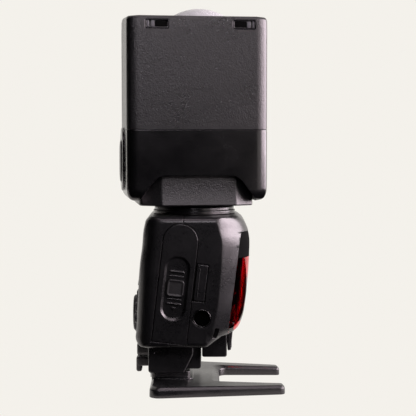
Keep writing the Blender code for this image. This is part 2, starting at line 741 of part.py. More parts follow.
def make_cells(low, strip):
    """Four cells side by side in their holder, with the contact strip at their far ends."""
    high = low + CELL_LENGTH
    frame = lean_outline(fillet([(-HOLDER_HALF, HOLDER_LOW, 2), (HOLDER_HALF, HOLDER_LOW, 2),
                                 (HOLDER_HALF, HOLDER_HIGH, 7), (-HOLDER_HALF, HOLDER_HIGH, 7)], 3))
    holder = add_piece("battery_holder", prism(frame, low + HOLDER_INSET, high - HOLDER_INSET, "Y"), BLACK)
    shoulder = high - NUB_LENGTH
    cell = [(CELL_RADIUS, low), (CELL_RADIUS, shoulder), (NUB_RADIUS, shoulder), (NUB_RADIUS, high)]
    for number in range(CELL_COUNT):
        centre = leaning(0.0, CELL_FIRST + number * CELL_PITCH)
        cut(holder, rod(CELL_RADIUS + GAP, low, high, centre, "Y", 20))
        add_piece(f"battery_{number + 1}", turned(cell, centre, "Y", 20), CELL)
    add_piece("inner_contact", prism(strip, high + GAP, high + GAP + STRIP_THICK, "Y"), BRASS)


def make_side_ports():
    wide, tall = PORT_HALF, PORT_TALL
    port = [(-wide, -tall), (wide, -tall), (wide, tall), (-wide, tall)]
    block = prism(lean_outline(port, TERMINAL_X, TERMINAL_Z), PORT_FRONT, PORT_BACK, "Y")
    add_piece("terminal_block", block, GRIP)
    hinge = leaning(TERMINAL_HALF, -TERMINAL_TALL, TERMINAL_X, TERMINAL_Z)
    front = -BODY_HALF - TERMINAL_PROUD
    add_piece("terminal_cover", prism(terminal_outline(), front, TERMINAL_BACK, "Y"), GRIP,
              pivot=(hinge[0], front, hinge[1]))
    barrel = [
        (SOCKET_RADIUS, SOCKET_BACK), (SOCKET_RADIUS, SOCKET_FRONT), (SOCKET_BORE, SOCKET_FRONT),
        (SOCKET_BORE, SOCKET_FLOOR),
    ]
    add_piece("sync_socket", turned(barrel, SOCKET, "Y", 20), STEEL)


def make_body_inside():
    board = [(0, 0), (BOARD_THICK, 0), (BOARD_THICK, BOARD_TALL), (0, BOARD_TALL)]
    add_piece("main_board", prism(lean_outline(board, BOARD_X, BOARD_Z), -BOARD_HALF, BOARD_HALF, "Y"), GREEN)
    can = [
        (CAPACITOR_RADIUS - 0.8, CAPACITOR_NEAR), (CAPACITOR_RADIUS, CAPACITOR_NEAR + 0.8),
        (CAPACITOR_RADIUS, CAPACITOR_FAR - 0.8), (CAPACITOR_RADIUS - 0.8, CAPACITOR_FAR),
    ]
    add_piece("main_capacitor", turned(can, CAPACITOR, "Y", 20), CELL)
    carrier = box(LAMP_REAR, LAMP_FRONT, -LAMP_HALF, LAMP_HALF, LAMP_LOW, LAMP_HIGH)
    lamp = add_piece("af_lamp_block", carrier, GRIP)
    for y in (-LAMP_Y, LAMP_Y):
        join(lamp, rod(LAMP_RADIUS, LAMP_FRONT - 2, LAMP_TIP, (y, LAMP_Z), "X"))
    housing = prism(fillet(HOUSING_SIDE, 2), -HOUSING_HALF, HOUSING_HALF, "Y")
    add_piece("contact_housing", housing, BLACK)
    add_piece("contact_cover", prism(fillet(COVER_SIDE, 2), -COVER_HALF, COVER_HALF, "Y"), GRIP)


# ---------------------------------------------------------------- collar, neck and head

def make_collar():
    rim = [(COLLAR_INSIDE, COLLAR_LOW), (COLLAR_RADIUS, COLLAR_LOW)]
    rim += [*COLLAR_STEPS, (COLLAR_INSIDE, COLLAR_TOP)]
    add_piece("swivel_collar", turned(rim, (0, 0), count=40, tube=True), BLACK)
    shaft = [(SHAFT_BORE, SHAFT_LOW), (SHAFT_RADIUS, SHAFT_LOW)]
    shaft += [(SHAFT_RADIUS, SHAFT_TOP), (SHAFT_BORE, SHAFT_TOP)]
    add_piece("swivel_shaft", turned(shaft, (0, 0), tube=True), STEEL)


def make_neck(frame):
    plan = fillet([(-NECK_X, NECK_NEAR, 11), (NECK_X, NECK_NEAR, 11), (NECK_X, NECK_FAR, 5),
                   (-NECK_X, NECK_FAR, 5)])
    neck = add_piece("neck_block", prism(plan, NECK_LOW, PIVOT_Z + DRUM_RADIUS + 5), BLACK, frame)
    start = math.acos(NECK_FAR / DRUM_RADIUS)
    drum = [start + (math.pi - start) * i / 14 for i in range(15)]
    side = [(DRUM_RADIUS * math.cos(t), PIVOT_Z + DRUM_RADIUS * math.sin(t)) for t in drum]
    side += [(NECK_NEAR, NECK_LOW - 2), (NECK_FAR, NECK_LOW - 2)]
    keep(neck, prism(side, -FAR, FAR, "X"))
    cut(neck, box(*NECK_HOLLOW, NECK_FLOOR, PIVOT_Z + FAR))
    cut(neck, rod(SHAFT_RADIUS + GAP, NECK_LOW - 5, NECK_FLOOR + 5, (-HEAD_SHIFT, 0), count=24))
    cut(neck, rod(AXLE_RADIUS + GAP, -FAR, FAR, (0, PIVOT_Z), "X"))
    add_piece("tilt_axle", rod(AXLE_RADIUS, -AXLE_HALF, AXLE_HALF, (0, PIVOT_Z), "X"), STEEL, frame)


def head_ring(z, inset, radius):
    """The head's plan at a height, drawn in by inset; above the shoulder it rises to the far side."""
    outline = rounded(-HEAD_X + inset, HEAD_X - inset, HEAD_NEAR + inset, HEAD_FAR - inset, radius, 3)
    lift = HEAD_RISE * max(0.0, z - HEAD_SHOULDER) / (HEAD_TOP - HEAD_SHOULDER)
    return [(x, y, z + lift * (y - HEAD_NEAR) / (HEAD_FAR - HEAD_NEAR)) for x, y in outline]


def make_head_rear(frame):
    rear = add_piece("head_rear_shell", loft([head_ring(*ring) for ring in HEAD_REAR_RINGS]), BLACK, frame)
    cut(rear, box(-EAR_X, EAR_X, HEAD_NEAR + WALL, FAR, NECK_LOW - 5, SLOT_HIGH))
    far = [math.radians(-32 - 4.75 * i) for i in range(5)]
    arc = [(HEAD_CLEARANCE * math.cos(t), PIVOT_Z + HEAD_CLEARANCE * math.sin(t)) for t in far]
    arc += [(arc[-1][0], NECK_LOW - 5), (FAR, NECK_LOW - 5), (FAR, arc[0][1])]
    cut(rear, prism(arc, -FAR, FAR, "X"))
    arch = fillet([
        (-EAR_X, NECK_LOW - 5, 0), (-EAR_X, HEAD_LOW, 1.5), (-ARCH_FLAT, ARCH_TOP, 9.0),
        (ARCH_FLAT, ARCH_TOP, 9.0), (EAR_X, HEAD_LOW, 1.5), (EAR_X, NECK_LOW - 5, 0),
    ])
    cut(rear, prism(arch, -FAR, HEAD_NEAR + 8, "Y"))
    for side in (-1, 1):
        low, high = sorted((side * (EAR_X - 10), side * (AXLE_HALF + KEY_GAP)))
        cut(rear, rod(AXLE_RADIUS + GAP, low, high, (0, PIVOT_Z), "X"))
    cut(rear, rod(RELEASE_BORE, -FAR, -AXLE_HALF, (0, RELEASE_Z), "X"))


def make_head_front(frame):
    front = add_piece("head_front_shell", loft([head_ring(*ring) for ring in HEAD_FRONT_RINGS]), BLACK, frame)
    cut(front, loft([head_ring(z, WALL, 4.0) for z in (HEAD_SEAM - 8, HEAD_TOP + 7)]))
    cut(front, box(-EAR_X, EAR_X, SLOT_NEAR, FAR, HEAD_SEAM - 8, SLOT_HIGH))
    for x in (-POCKET_X, POCKET_X):
        pocket = rounded(x - POCKET_HALF, x + POCKET_HALF, POCKET_LOW, POCKET_HIGH, 0.6, 1)
        cut(front, prism(pocket, -FAR, HEAD_NEAR + POCKET_DEPTH, "Y"))


def oval(half, low, high, steps):
    return rounded(-half, half, low, high, half - 0.1, steps)


def make_head_trim(frame):
    for name, side in (("pivot_cover_left", -1), ("pivot_cover_right", 1)):
        low, high = sorted((side * (HEAD_X + COVER_NEAR), side * (HEAD_X + COVER_PROUD)))
        cover = add_piece(name, prism(oval(*COVER_OVAL, 6), low, high, "X"), BLACK, frame)
        if side < 0:
            cut(cover, prism(oval(*COVER_HOLE, 5), -FAR, -AXLE_HALF, "X"))
    cap = prism(oval(*RELEASE_OVAL, 5), -HEAD_X - RELEASE_PROUD, -HEAD_X - RELEASE_NEAR, "X")
    add_piece("bounce_release", cap, GRIP, frame)
    plate = prism(rounded(-PLATE_X, PLATE_X, PLATE_NEAR, PLATE_FAR, 3, 2), PLATE_LOW, PLATE_HIGH)
    lens = add_piece("front_lens", plate, CLEAR, frame)
    centre = LENS_TOP - LENS_RADIUS
    angles = [math.radians(LENS_ANGLE - LENS_STEP * i) for i in range(LENS_RINGS)]
    dome = [(LENS_RADIUS * math.sin(t), centre + LENS_RADIUS * math.cos(t)) for t in angles]
    join(lens, turned(dome, LENS_CENTRE, count=28))


def make_head_inside(frame):
    sheet = rounded(-SHEET_HALF, SHEET_HALF, SHEET_LOW, SHEET_HIGH, 1.5, 1)
    add_piece("wide_panel", prism(sheet, *PANEL_SHEET, "Y"), CLEAR, frame)
    add_piece("catchlight_card", prism(sheet, *CARD_SHEET, "Y"), WHITE, frame)
    add_piece("reflector", prism(REFLECTOR_SIDE, -REFLECTOR_HALF, REFLECTOR_HALF, "X"), STEEL, frame)
    add_piece("flash_tube", rod(TUBE_RADIUS, -TUBE_HALF, TUBE_HALF, (0, TUBE_Z), "X", 12), CLEAR, frame)
    plan = rounded(CARRIAGE_LEFT, CARRIAGE_RIGHT, -CARRIAGE_HALF, CARRIAGE_HALF, 2, 1)
    carriage = add_piece("zoom_carriage", prism(plan, CARRIAGE_LOW, CARRIAGE_HIGH), GRIP, frame)
    low, high = CARRIAGE_LOW - 6, CARRIAGE_HIGH + 4
    cut(carriage, box(-CARRIAGE_HOLE_X, CARRIAGE_HOLE_X, -CARRIAGE_HOLE_Y, CARRIAGE_HOLE_Y, low, high))
    cut(carriage, rod(SCREW_RADIUS + KEY_GAP, low, high, (SCREW_X, 0), count=12))
    add_piece("lead_screw", rod(SCREW_RADIUS, SCREW_LOW, SCREW_TOP, (SCREW_X, 0), count=12), STEEL, frame)
    add_piece("zoom_motor", turned(MOTOR_SIDE, (SCREW_X, 0), count=16), STEEL, frame)
    board = rounded(-TRIGGER_HALF, TRIGGER_HALF, TRIGGER_LOW, SCREW_TOP, 1, 1)
    add_piece("trigger_board", prism(board, TRIGGER_NEAR, TRIGGER_FAR, "Y"), GREEN, frame)


def make_head_frame():
    """An empty that the neck and the head hang from, shifted and turned about the swivel axis."""
    frame = bpy.data.objects.new("head_frame", None)
    bpy.context.collection.objects.link(frame)
    shift = HEAD_SHIFT * MM
    frame.location = (shift * math.cos(HEAD_TURN), shift * math.sin(HEAD_TURN), 0.0)
    frame.rotation_euler = (0.0, 0.0, HEAD_TURN)
    return frame


def main():
    clear_scene()
    make_stand()
    make_foot()
    make_foot_block()
    make_lock()
    make_shells()
    make_controls()
    make_door()
    make_side_ports()
    make_body_inside()
    make_collar()
    frame = make_head_frame()
    make_neck(frame)
    make_head_rear(frame)
    make_head_front(frame)
    make_head_trim(frame)
    make_head_inside(frame)


main()
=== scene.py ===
"""The looks of the speedlight flash on its mini stand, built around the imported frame.

Lengths are in millimetres, and add_piece turns them into metres. X points to the front, Y to the
far side and Z up. The head and the neck are made in a frame of their own, which HEAD turns about
the swivel axis and sets back a little. The studio and the materials are in metres.
"""
import math

import bmesh
import bpy
from mathutils import Matrix, Vector


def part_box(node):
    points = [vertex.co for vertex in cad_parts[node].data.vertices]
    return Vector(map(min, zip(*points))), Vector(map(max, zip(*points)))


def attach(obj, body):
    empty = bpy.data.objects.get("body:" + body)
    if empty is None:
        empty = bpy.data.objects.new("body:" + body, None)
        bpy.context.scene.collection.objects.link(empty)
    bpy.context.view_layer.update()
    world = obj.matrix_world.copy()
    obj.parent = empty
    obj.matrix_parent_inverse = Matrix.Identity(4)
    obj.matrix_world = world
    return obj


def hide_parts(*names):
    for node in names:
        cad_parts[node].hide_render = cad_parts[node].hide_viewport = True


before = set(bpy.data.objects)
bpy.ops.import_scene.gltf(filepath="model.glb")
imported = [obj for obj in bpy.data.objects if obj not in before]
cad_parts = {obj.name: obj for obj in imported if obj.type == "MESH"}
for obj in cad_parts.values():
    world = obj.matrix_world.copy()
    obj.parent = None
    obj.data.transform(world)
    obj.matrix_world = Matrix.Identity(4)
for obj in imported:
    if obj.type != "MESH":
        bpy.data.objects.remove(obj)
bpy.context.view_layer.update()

MM = 0.001
LEAN = math.radians(6.6)  # the body's seam and door lean to the front as they rise
HEAD_TURN = math.radians(7.5)
HEAD_SHIFT = -1.2
HEAD = Matrix.Rotation(HEAD_TURN, 4, "Z") @ Matrix.Translation((HEAD_SHIFT, 0.0, 0.0))
WALL = 2.0  # thickness of the shells
SEAM = 0.15  # half of the gap between the body's two shells
AXIS = 0.02  # smallest radius of a turned form, so that no face collapses on the axis
CRISP = math.radians(38.0)  # edges turning more than this stay sharp


def node_box(node):
    """Lowest and highest corner of a CAD node in millimetres."""
    low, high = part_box(node)
    return low / MM, high / MM


# ---------------------------------------------------------------- mesh tools

def place(axis, a, b, along):
    """A point at (a, b) in the plane across an axis, and along that axis."""
    if axis == "X":
        return Vector((along, a, b))
    if axis == "Y":
        return Vector((a, along, b))
    return Vector((a, b, along))


def loft(rings, closed=False):
    """Skins rings of equal length; the ends are capped unless the loft closes on itself."""
    bm = bmesh.new()
    loops = [[bm.verts.new(point) for point in ring] for ring in rings]
    pairs = list(zip(loops, loops[1:]))
    if closed:
        pairs.append((loops[-1], loops[0]))
    else:
        bm.faces.new(loops[0])
        bm.faces.new(loops[-1])
    for low, high in pairs:
        for i in range(len(low)):
            k = (i + 1) % len(low)
            bm.faces.new((low[i], low[k], high[k], high[i]))
    bmesh.ops.recalc_face_normals(bm, faces=bm.faces)
    return bm


def gather(*parts):
    """Puts several closed forms into one bmesh."""
    whole = bmesh.new()
    for part in parts:
        mesh = bpy.data.meshes.new("part")
        part.to_mesh(mesh)
        part.free()
        whole.from_mesh(mesh)
        bpy.data.meshes.remove(mesh)
    return whole


def circle(radius, count, centre=(0.0, 0.0)):
    turns = [math.tau * (i + 0.5) / count for i in range(count)]
    return [(centre[0] + radius * math.cos(t), centre[1] + radius * math.sin(t)) for t in turns]


def fillet(corners, steps=6):
    """Outline through (a, b, radius) corners, each rounded by an arc."""
    points = []
    for i, (a, b, radius) in enumerate(corners):
        here = Vector((a, b))
        if radius == 0:
            points.append(here)
            continue
        before = (Vector(corners[i - 1][:2]) - here).normalized()
        after = (Vector(corners[(i + 1) % len(corners)][:2]) - here).normalized()
        half = before.angle(after) / 2
        centre = here + (before + after).normalized() * radius / math.sin(half)
        start = here + before * radius / math.tan(half) - centre
        end = here + after * radius / math.tan(half) - centre
        sweep = math.pi - 2 * half
        for k in range(steps + 1):
            t = sweep * k / steps
            points.append(centre + (start * math.sin(sweep - t) + end * math.sin(t)) / math.sin(sweep))
    return points


def rounded(a0, a1, b0, b1, radius, steps=6):
    return fillet([(a0, b0, radius), (a1, b0, radius), (a1, b1, radius), (a0, b1, radius)], steps)


def inset(outline, distance):
    """Moves an outline inwards by a small distance along its mitred corners."""
    points = [Vector(point) for point in outline]
    count = len(points)
    area = sum(points[i].cross(points[(i + 1) % count]) for i in range(count))
    side = 1.0 if area > 0 else -1.0
    moved = []
    for i, here in enumerate(points):
        first = (here - points[i - 1]).normalized()
        second = (points[(i + 1) % count] - here).normalized()
        normal = Vector((-first.y - second.y, first.x + second.x)) * side
        normal.normalize()
        reach = max(0.4, normal.dot(Vector((-first.y, first.x)) * side))
        moved.append(here + normal * distance / reach)
    return moved


def pillow(outline, low, high, axis="Z", bevel=0.5, steps=3, ends=(True, True)):
    """A prism whose end edges are rounded; ends says which of the two ends is."""
    levels = []
    for k in range(steps + 1):
        t = math.radians(90.0 * k / steps)
        levels.append((bevel * (1 - math.sin(t)), bevel * (1 - math.cos(t))))
    rings = [(d, low + a) for d, a in levels] if ends[0] else [(0.0, low)]
    rings += [(d, high - a) for d, a in reversed(levels)] if ends[1] else [(0.0, high)]
    return loft([[place(axis, a, b, along) for a, b in inset(outline, d)] for d, along in rings])


def prism(outline, low, high, axis="Z"):
    return loft([[place(axis, a, b, along) for a, b in outline] for along in (low, high)])


def box(x0, x1, y0, y1, z0, z1):
    return prism([(x0, y0), (x1, y0), (x1, y1), (x0, y1)], z0, z1)


def block(x0, x1, y0, y1, z0, z1, bevel=0.3):
    return pillow(rounded(x0, x1, y0, y1, bevel, 2), z0, z1, bevel=bevel, steps=2)


def lathe(corners, centre, axis="Z", count=64, steps=3, tube=True):
    """Turns (radius, along, rounding) corners; a solid's profile runs from axis to axis."""
    profile = fillet(corners, steps) if tube else open_fillet(corners, steps)
    rings = []
    for radius, along in profile:
        rings.append([place(axis, a, b, along) for a, b in circle(max(radius, AXIS), count, centre)])
    return loft(rings, closed=tube)


def open_fillet(corners, steps):
    """Like fillet, for a profile whose two ends stay where they are."""
    inner = fillet(corners, steps)
    return [Vector(corners[0][:2])] + inner[1:-1] + [Vector(corners[-1][:2])]


def new_object(name, data):
    thing = bpy.data.objects.new(name, data)
    bpy.context.scene.collection.objects.link(thing)
    return thing


def temporary(bm):
    mesh = bpy.data.meshes.new("tool")
    bm.to_mesh(mesh)
    bm.free()
    return new_object("tool", mesh)


def carve(bm, cuts=(), keeps=(), joins=()):
    """Applies exact Booleans to a bmesh and returns the outcome as a new one."""
    things = [temporary(bm)]
    for operation, others in (("UNION", joins), ("INTERSECT", keeps), ("DIFFERENCE", cuts)):
        for other in others:
            things.append(temporary(other))
            modifier = things[0].modifiers.new("boolean", "BOOLEAN")
            modifier.operation = operation
            modifier.solver = "EXACT"
            modifier.object = things[-1]
    depsgraph = bpy.context.evaluated_depsgraph_get()
    outcome = bmesh.new()
    outcome.from_object(things[0], depsgraph)
    for thing in things:
        mesh = thing.data
        bpy.data.objects.remove(thing)
        bpy.data.meshes.remove(mesh)
    return outcome


def add_piece(name, bm, material, body, stands_for=(), head=False):
    """Makes the bmesh an object of the model that rides on a body; material is a key of MATERIALS."""
    bmesh.ops.recalc_face_normals(bm, faces=bm.faces)
    if head:
        bmesh.ops.transform(bm, matrix=HEAD, verts=bm.verts)
    bmesh.ops.scale(bm, vec=(MM, MM, MM), verts=bm.verts)
    mesh = bpy.data.meshes.new(name)
    bm.to_mesh(mesh)
    bm.free()
    mesh.shade_smooth()
    mesh.set_sharp_from_angle(angle=CRISP)
    mesh.materials.append(MATERIALS[material])
    piece = new_object(name, mesh)
    normals = piece.modifiers.new("normals", "WEIGHTED_NORMAL")
    normals.keep_sharp = True
    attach(piece, body)
    if stands_for:
        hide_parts(*stands_for)


# ---------------------------------------------------------------- materials

class Finish:
    """A Principled material with short ways to add nodes and links."""

    def __init__(self, name):
        self.material = bpy.data.materials.new(name)
        self.material.use_nodes = True
        self.tree = self.material.node_tree
        self.shader = self.tree.nodes["Principled BSDF"]
        self.place = self.add("ShaderNodeTexCoord").outputs["Object"]

    def add(self, kind, **settings):
        node = self.tree.nodes.new(kind)
        for key, value in settings.items():
            setattr(node, key, value)
        return node

    def link(self, source, target):
        self.tree.links.new(source, target)

    def set(self, **values):
        for key, value in values.items():
            self.shader.inputs[key.replace("_", " ")].default_value = value

    def noise(self, scale, detail=2.0, roughness=0.5, stretch=None):
        node = self.add("ShaderNodeTexNoise")
        node.inputs["Scale"].default_value = scale
        node.inputs["Detail"].default_value = detail
        node.inputs["Roughness"].default_value = roughness
        source = self.place
        if stretch:
            mapping = self.add("ShaderNodeMapping")
            mapping.inputs["Scale"].default_value = stretch
            self.link(source, mapping.inputs["Vector"])
            source = mapping.outputs["Vector"]
        self.link(source, node.inputs["Vector"])
        return node.outputs["Fac"]

    def spread(self, source, low, high, start=0.3, end=0.7):
        node = self.add("ShaderNodeMapRange")
        for key, value in (("From Min", start), ("From Max", end), ("To Min", low), ("To Max", high)):
            node.inputs[key].default_value = value
        self.link(source, node.inputs["Value"])
        return node.outputs["Result"]

    def mix(self, factor, first, second):
        node = self.add("ShaderNodeMix", data_type="RGBA")
        self.link(factor, node.inputs["Factor"])
        for socket, value in ((node.inputs[6], first), (node.inputs[7], second)):
            if isinstance(value, bpy.types.NodeSocket):
                self.link(value, socket)
            else:
                socket.default_value = (*value, 1.0)
        return node.outputs[2]

    def sum(self, first, second):
        node = self.add("ShaderNodeMath", operation="ADD", use_clamp=True)
        self.link(first, node.inputs[0])
        self.link(second, node.inputs[1])
        return node.outputs[0]

    def surface(self, colour, roughness):
        self.link(colour, self.shader.inputs["Base Color"])
        self.link(roughness, self.shader.inputs["Roughness"])

    def edges(self, radius, wear):
        """Rounded normals, and a mask that reaches wear on exposed edges."""
        bevel = self.add("ShaderNodeBevel", samples=4)
        bevel.inputs["Radius"].default_value = radius
        geometry = self.add("ShaderNodeNewGeometry")
        dot = self.add("ShaderNodeVectorMath", operation="DOT_PRODUCT")
        self.link(bevel.outputs["Normal"], dot.inputs[0])
        self.link(geometry.outputs["Normal"], dot.inputs[1])
        return bevel.outputs["Normal"], self.spread(dot.outputs["Value"], 0.0, wear, 0.98, 0.72)

    def bump(self, heights, normal=None):
        """Chains bumps from (height, strength, distance) triples."""
        for height, strength, distance in heights:
            node = self.add("ShaderNodeBump")
            node.inputs["Strength"].default_value = strength
            node.inputs["Distance"].default_value = distance
            self.link(height, node.inputs["Height"])
            if normal:
                self.link(normal, node.inputs["Normal"])
            normal = node.outputs["Normal"]
        self.link(normal, self.shader.inputs["Normal"])


def tint(colour, gain, lift=0.0):
    return tuple(min(1.0, c * gain + lift) for c in colour)


def plastic(name, colour, roughness, grain=1500.0, depth=0.00006, specks=0.6, spread=0.08):
    """Moulded plastic: spark-eroded grain, faint specks, handling marks and rubbed edges."""
    f = Finish(name)
    # the lilac specular tint paints the lilac of the studio's reflections into the plastic: painted reflection
    # colour
    f.set(Specular_Tint=(1.0, 0.92, 0.95, 1.0), Specular_IOR_Level=0.8)
    rounded_normal, worn = f.edges(0.00045, 0.5)
    fine = f.noise(grain, 3.0, 0.6)
    soft = f.noise(grain * 0.32, 2.0)
    patch = f.noise(55.0, 4.0, 0.62)
    dust = f.spread(f.noise(grain * 0.8, 2.0, 0.5), 0.0, specks, 0.4, 0.72)
    tone = f.mix(f.spread(patch, 0.0, 0.55), colour, tint(colour, 1.5))
    tone = f.mix(dust, tone, tint(colour, 2.2, 0.004))
    f.surface(f.mix(worn, tone, tint(colour, 2.2, 0.006)),
              f.sum(f.spread(patch, roughness - spread, roughness), f.spread(fine, 0.0, spread)))
    f.bump([(soft, 0.5, depth), (fine, 0.9, depth)], rounded_normal)
    return f.material


def metal(name, colour, roughness, stretch=(1.0, 30.0, 1.0), scale=420.0):
    """Worked metal: drawn lines, small dents and dull patches."""
    f = Finish(name)
    f.set(Metallic=1.0)
    rounded_normal, worn = f.edges(0.0003, 0.6)
    lines = f.noise(scale, 4.0, 0.65, stretch)
    patch = f.noise(130.0, 3.0)
    tone = f.mix(f.spread(patch, 0.0, 0.7), colour, tint(colour, 0.72))
    f.surface(f.mix(worn, tone, tint(colour, 1.25)),
              f.sum(f.spread(lines, roughness - 0.1, roughness), f.spread(patch, 0.0, 0.1)))
    f.bump([(lines, 0.4, 0.00003)], rounded_normal)
    return f.material


def clear(name, colour, roughness, ior=1.49, streak=90.0):
    """See-through plastic with faint flow marks and a little surface haze."""
    f = Finish(name)
    f.set(Transmission_Weight=1.0, IOR=ior)
    flow = f.noise(streak, 3.0, 0.55, (1.0, 1.0, 3.0))
    fine = f.noise(1800.0, 2.0)
    f.surface(f.mix(f.spread(flow, 0.0, 1.0), colour, tint(colour, 0.86)),
              f.sum(f.spread(flow, 0.0, roughness), f.spread(fine, 0.0, roughness * 0.6)))
    f.bump([(flow, 0.15, 0.00004)])
    return f.material


def printed(name, first, second, roughness, scale, wear=0.3):
    """A coated or printed surface whose two tones break up in small cells."""
    f = Finish(name)
    rounded_normal, worn = f.edges(0.0003, wear)
    cells = f.add("ShaderNodeTexVoronoi")
    cells.inputs["Scale"].default_value = scale
    f.link(f.place, cells.inputs["Vector"])
    fine = f.noise(scale * 4.0, 3.0)
    tone = f.mix(f.spread(cells.outputs["Distance"], 0.0, 0.8, 0.1, 0.6), first, second)
    f.surface(f.mix(worn, tone, tint(second, 1.4, 0.05)),
              f.spread(fine, roughness - 0.08, roughness + 0.08))
    f.bump([(fine, 0.35, 0.00003)], rounded_normal)
    return f.material


BLACK = (0.0028, 0.0028, 0.0033)
# plastic takes a name, colour, roughness, grain scale, grain depth, specks and roughness spread.
MATERIALS = {
    "body": plastic("body_black", BLACK, 0.31),
    "panel": plastic("head_panel", (0.003, 0.003, 0.0034), 0.31, 1300.0, 0.0002, 0.9),
    "smooth": plastic("smooth_black", (0.0015, 0.0015, 0.0018), 0.21, 2200.0, 0.00003, 0.3),
    "neck": plastic("neck_black", (0.004, 0.004, 0.0045), 0.34, 1300.0, 0.0002, 0.9),
    "grip": plastic("soft_black", (0.0045, 0.0045, 0.005), 0.46, 1900.0, 0.00005, 0.4),
    "gloss": plastic("gloss_black", (0.004, 0.004, 0.005), 0.12, 2600.0, 0.00001, 0.1, 0.04),
    "key": plastic("key_grey", (0.02, 0.02, 0.022), 0.52, 1900.0, 0.00005, 0.4),
    # near-black that hardly reflects: painted shade for the insides of holes, slots and seams
    "shade_black": plastic("painted_shade_black", (0.002, 0.002, 0.002), 0.8, 1500.0, 0.00005, 0.0),
    "mark": plastic("pale_mark", (0.5, 0.5, 0.48), 0.55, 2200.0, 0.00003, 0.2),
    "strip": plastic("tab_grey", (0.05, 0.048, 0.055), 0.35, 2000.0, 0.00003, 0.2),
    "steel": metal("satin_steel", (0.55, 0.54, 0.56), 0.38),
    "chrome": metal("reflector_metal", (0.86, 0.84, 0.87), 0.2, (30.0, 1.0, 1.0)),
    "brass": metal("contact_brass", (0.72, 0.52, 0.24), 0.34),
    "red": clear("red_window", (0.88, 0.003, 0.014), 0.05),
    "lens": clear("clear_lens", (0.96, 0.93, 0.985), 0.22, 1.14),
    "dome": clear("frosted_lens", (0.66, 0.63, 0.67), 0.3, 1.3),
    "tube": clear("tube_glass", (0.95, 0.95, 0.97), 0.05),
    "card": printed("white_card", (0.78, 0.78, 0.76), (0.7, 0.7, 0.69), 0.55, 900.0),
    "display": printed("display_grey", (0.085, 0.1, 0.085), (0.06, 0.072, 0.062), 0.22, 1400.0, 0.0),
    "board": printed("board_green", (0.012, 0.09, 0.045), (0.02, 0.13, 0.06), 0.4, 500.0),
    "cell": printed("cell_sleeve", (0.09, 0.1, 0.13), (0.12, 0.13, 0.16), 0.3, 300.0),
    "lamp": printed("lamp_dark", (0.02, 0.003, 0.004), (0.04, 0.005, 0.008), 0.3, 700.0),
    # pale red for blocks where light catches inside the red window: painted highlights
    "painted_glint": printed("painted_glint_red", (0.95, 0.006, 0.02), (0.85, 0.004, 0.012), 0.3, 700.0),
}
# The dome is milky, and the shade black for insides shines far less than the other plastics, so holes and seams
# carry painted shade.
for material_key, socket, level in (("dome", "Transmission Weight", 0.35), ("shade_black", "Specular IOR Level", 0.04)):
    MATERIALS[material_key].node_tree.nodes["Principled BSDF"].inputs[socket].default_value = level


# ---------------------------------------------------------------- stand

STAND_RISE = 5.75
STAND_TIP_RISE = 4.7
NOTCH_ROOT = 13.8
ROOT_SLOPE = 2.7  # the notch's root draws in this much faster than the other faces
SHOE_X = -14.7  # middle of the shoe, the foot and the tripod bore
TRIPOD_BORE = 3.15


def stand_ring(z, shrink):
    """The fork's outline at a height; its top falls a little towards the tips."""
    low, high = node_box("stand_base")
    rear, tip, wide = low.x + shrink, high.x - shrink, 38.95 - shrink
    leg, notch = 28.5 - shrink, 20.5 + shrink
    root = NOTCH_ROOT - shrink * ROOT_SLOPE
    outer, inner = max(0.4, 3.0 - shrink), max(0.4, 2.0 - shrink)
    corners = [(rear, -wide, 5), (tip, -leg, outer), (tip, -notch, inner), (root, -notch, 5),
               (root, notch, 5), (tip, notch, inner), (tip, leg, outer), (rear, wide, 5)]
    drop = (STAND_RISE - STAND_TIP_RISE) / (high.x - NOTCH_ROOT)
    share = z / STAND_RISE
    return [(x, y, z - share * drop * max(0.0, x - NOTCH_ROOT)) for x, y in fillet(corners, 8)]


def make_stand():
    top = STAND_RISE
    levels = [(0.02, 0.3), (0.12, 0.08), (0.35, 0.0), (top - 2.0, 0.08), (top - 1.5, 0.25),
              (top - 0.55, 1.05), (top - 0.2, 1.35), (top, 1.75)]
    base = loft([stand_ring(z, shrink) for z, shrink in levels])
    low, high = node_box("stand_base")
    rails = pillow(rounded(low.x + 0.1, -2.0, -13.0, 13.0, 2.0, 5), 2.0, high.z, bevel=0.8, steps=4)
    pad = pillow(rounded(low.x + 3, -0.5, -17.0, 17.0, 3.0, 5), 3.0, top + 0.45, bevel=0.4)
    cuts = [
        box(low.x - 3, -5.2, -9.6, 9.6, 5.0, 7.5),  # room for the foot plate
        box(low.x - 3, -6.7, -6.2, 6.2, 6.5, high.z + 3),  # room between the rails
        box(low.x - 3, -9.7, 1.7, 4.7, 3.6, 6.0),  # groove for the lock pin
        prism(circle(4.9, 32, (SHOE_X, 0)), -1, 3.6),
        prism(circle(TRIPOD_BORE, 32, (SHOE_X, 0)), 1, 6),
    ]
    base = carve(base, cuts=cuts, joins=[rails, pad])
    add_piece("stand", base, "body", "stand", ["stand_base"])
    thread = [(TRIPOD_BORE + 0.28 * (k % 2), 0.25 + 0.42 * k, 0) for k in range(7)]
    profile = thread + [(TRIPOD_BORE, 3.1, 0), (4.55, 3.2, 0.2), (4.55, 0.05, 0.2), (3.35, 0.05, 0)]
    add_piece("insert", lathe(profile, (SHOE_X, 0), count=40), "brass", "stand",
              ["tripod_insert"])


# ---------------------------------------------------------------- foot

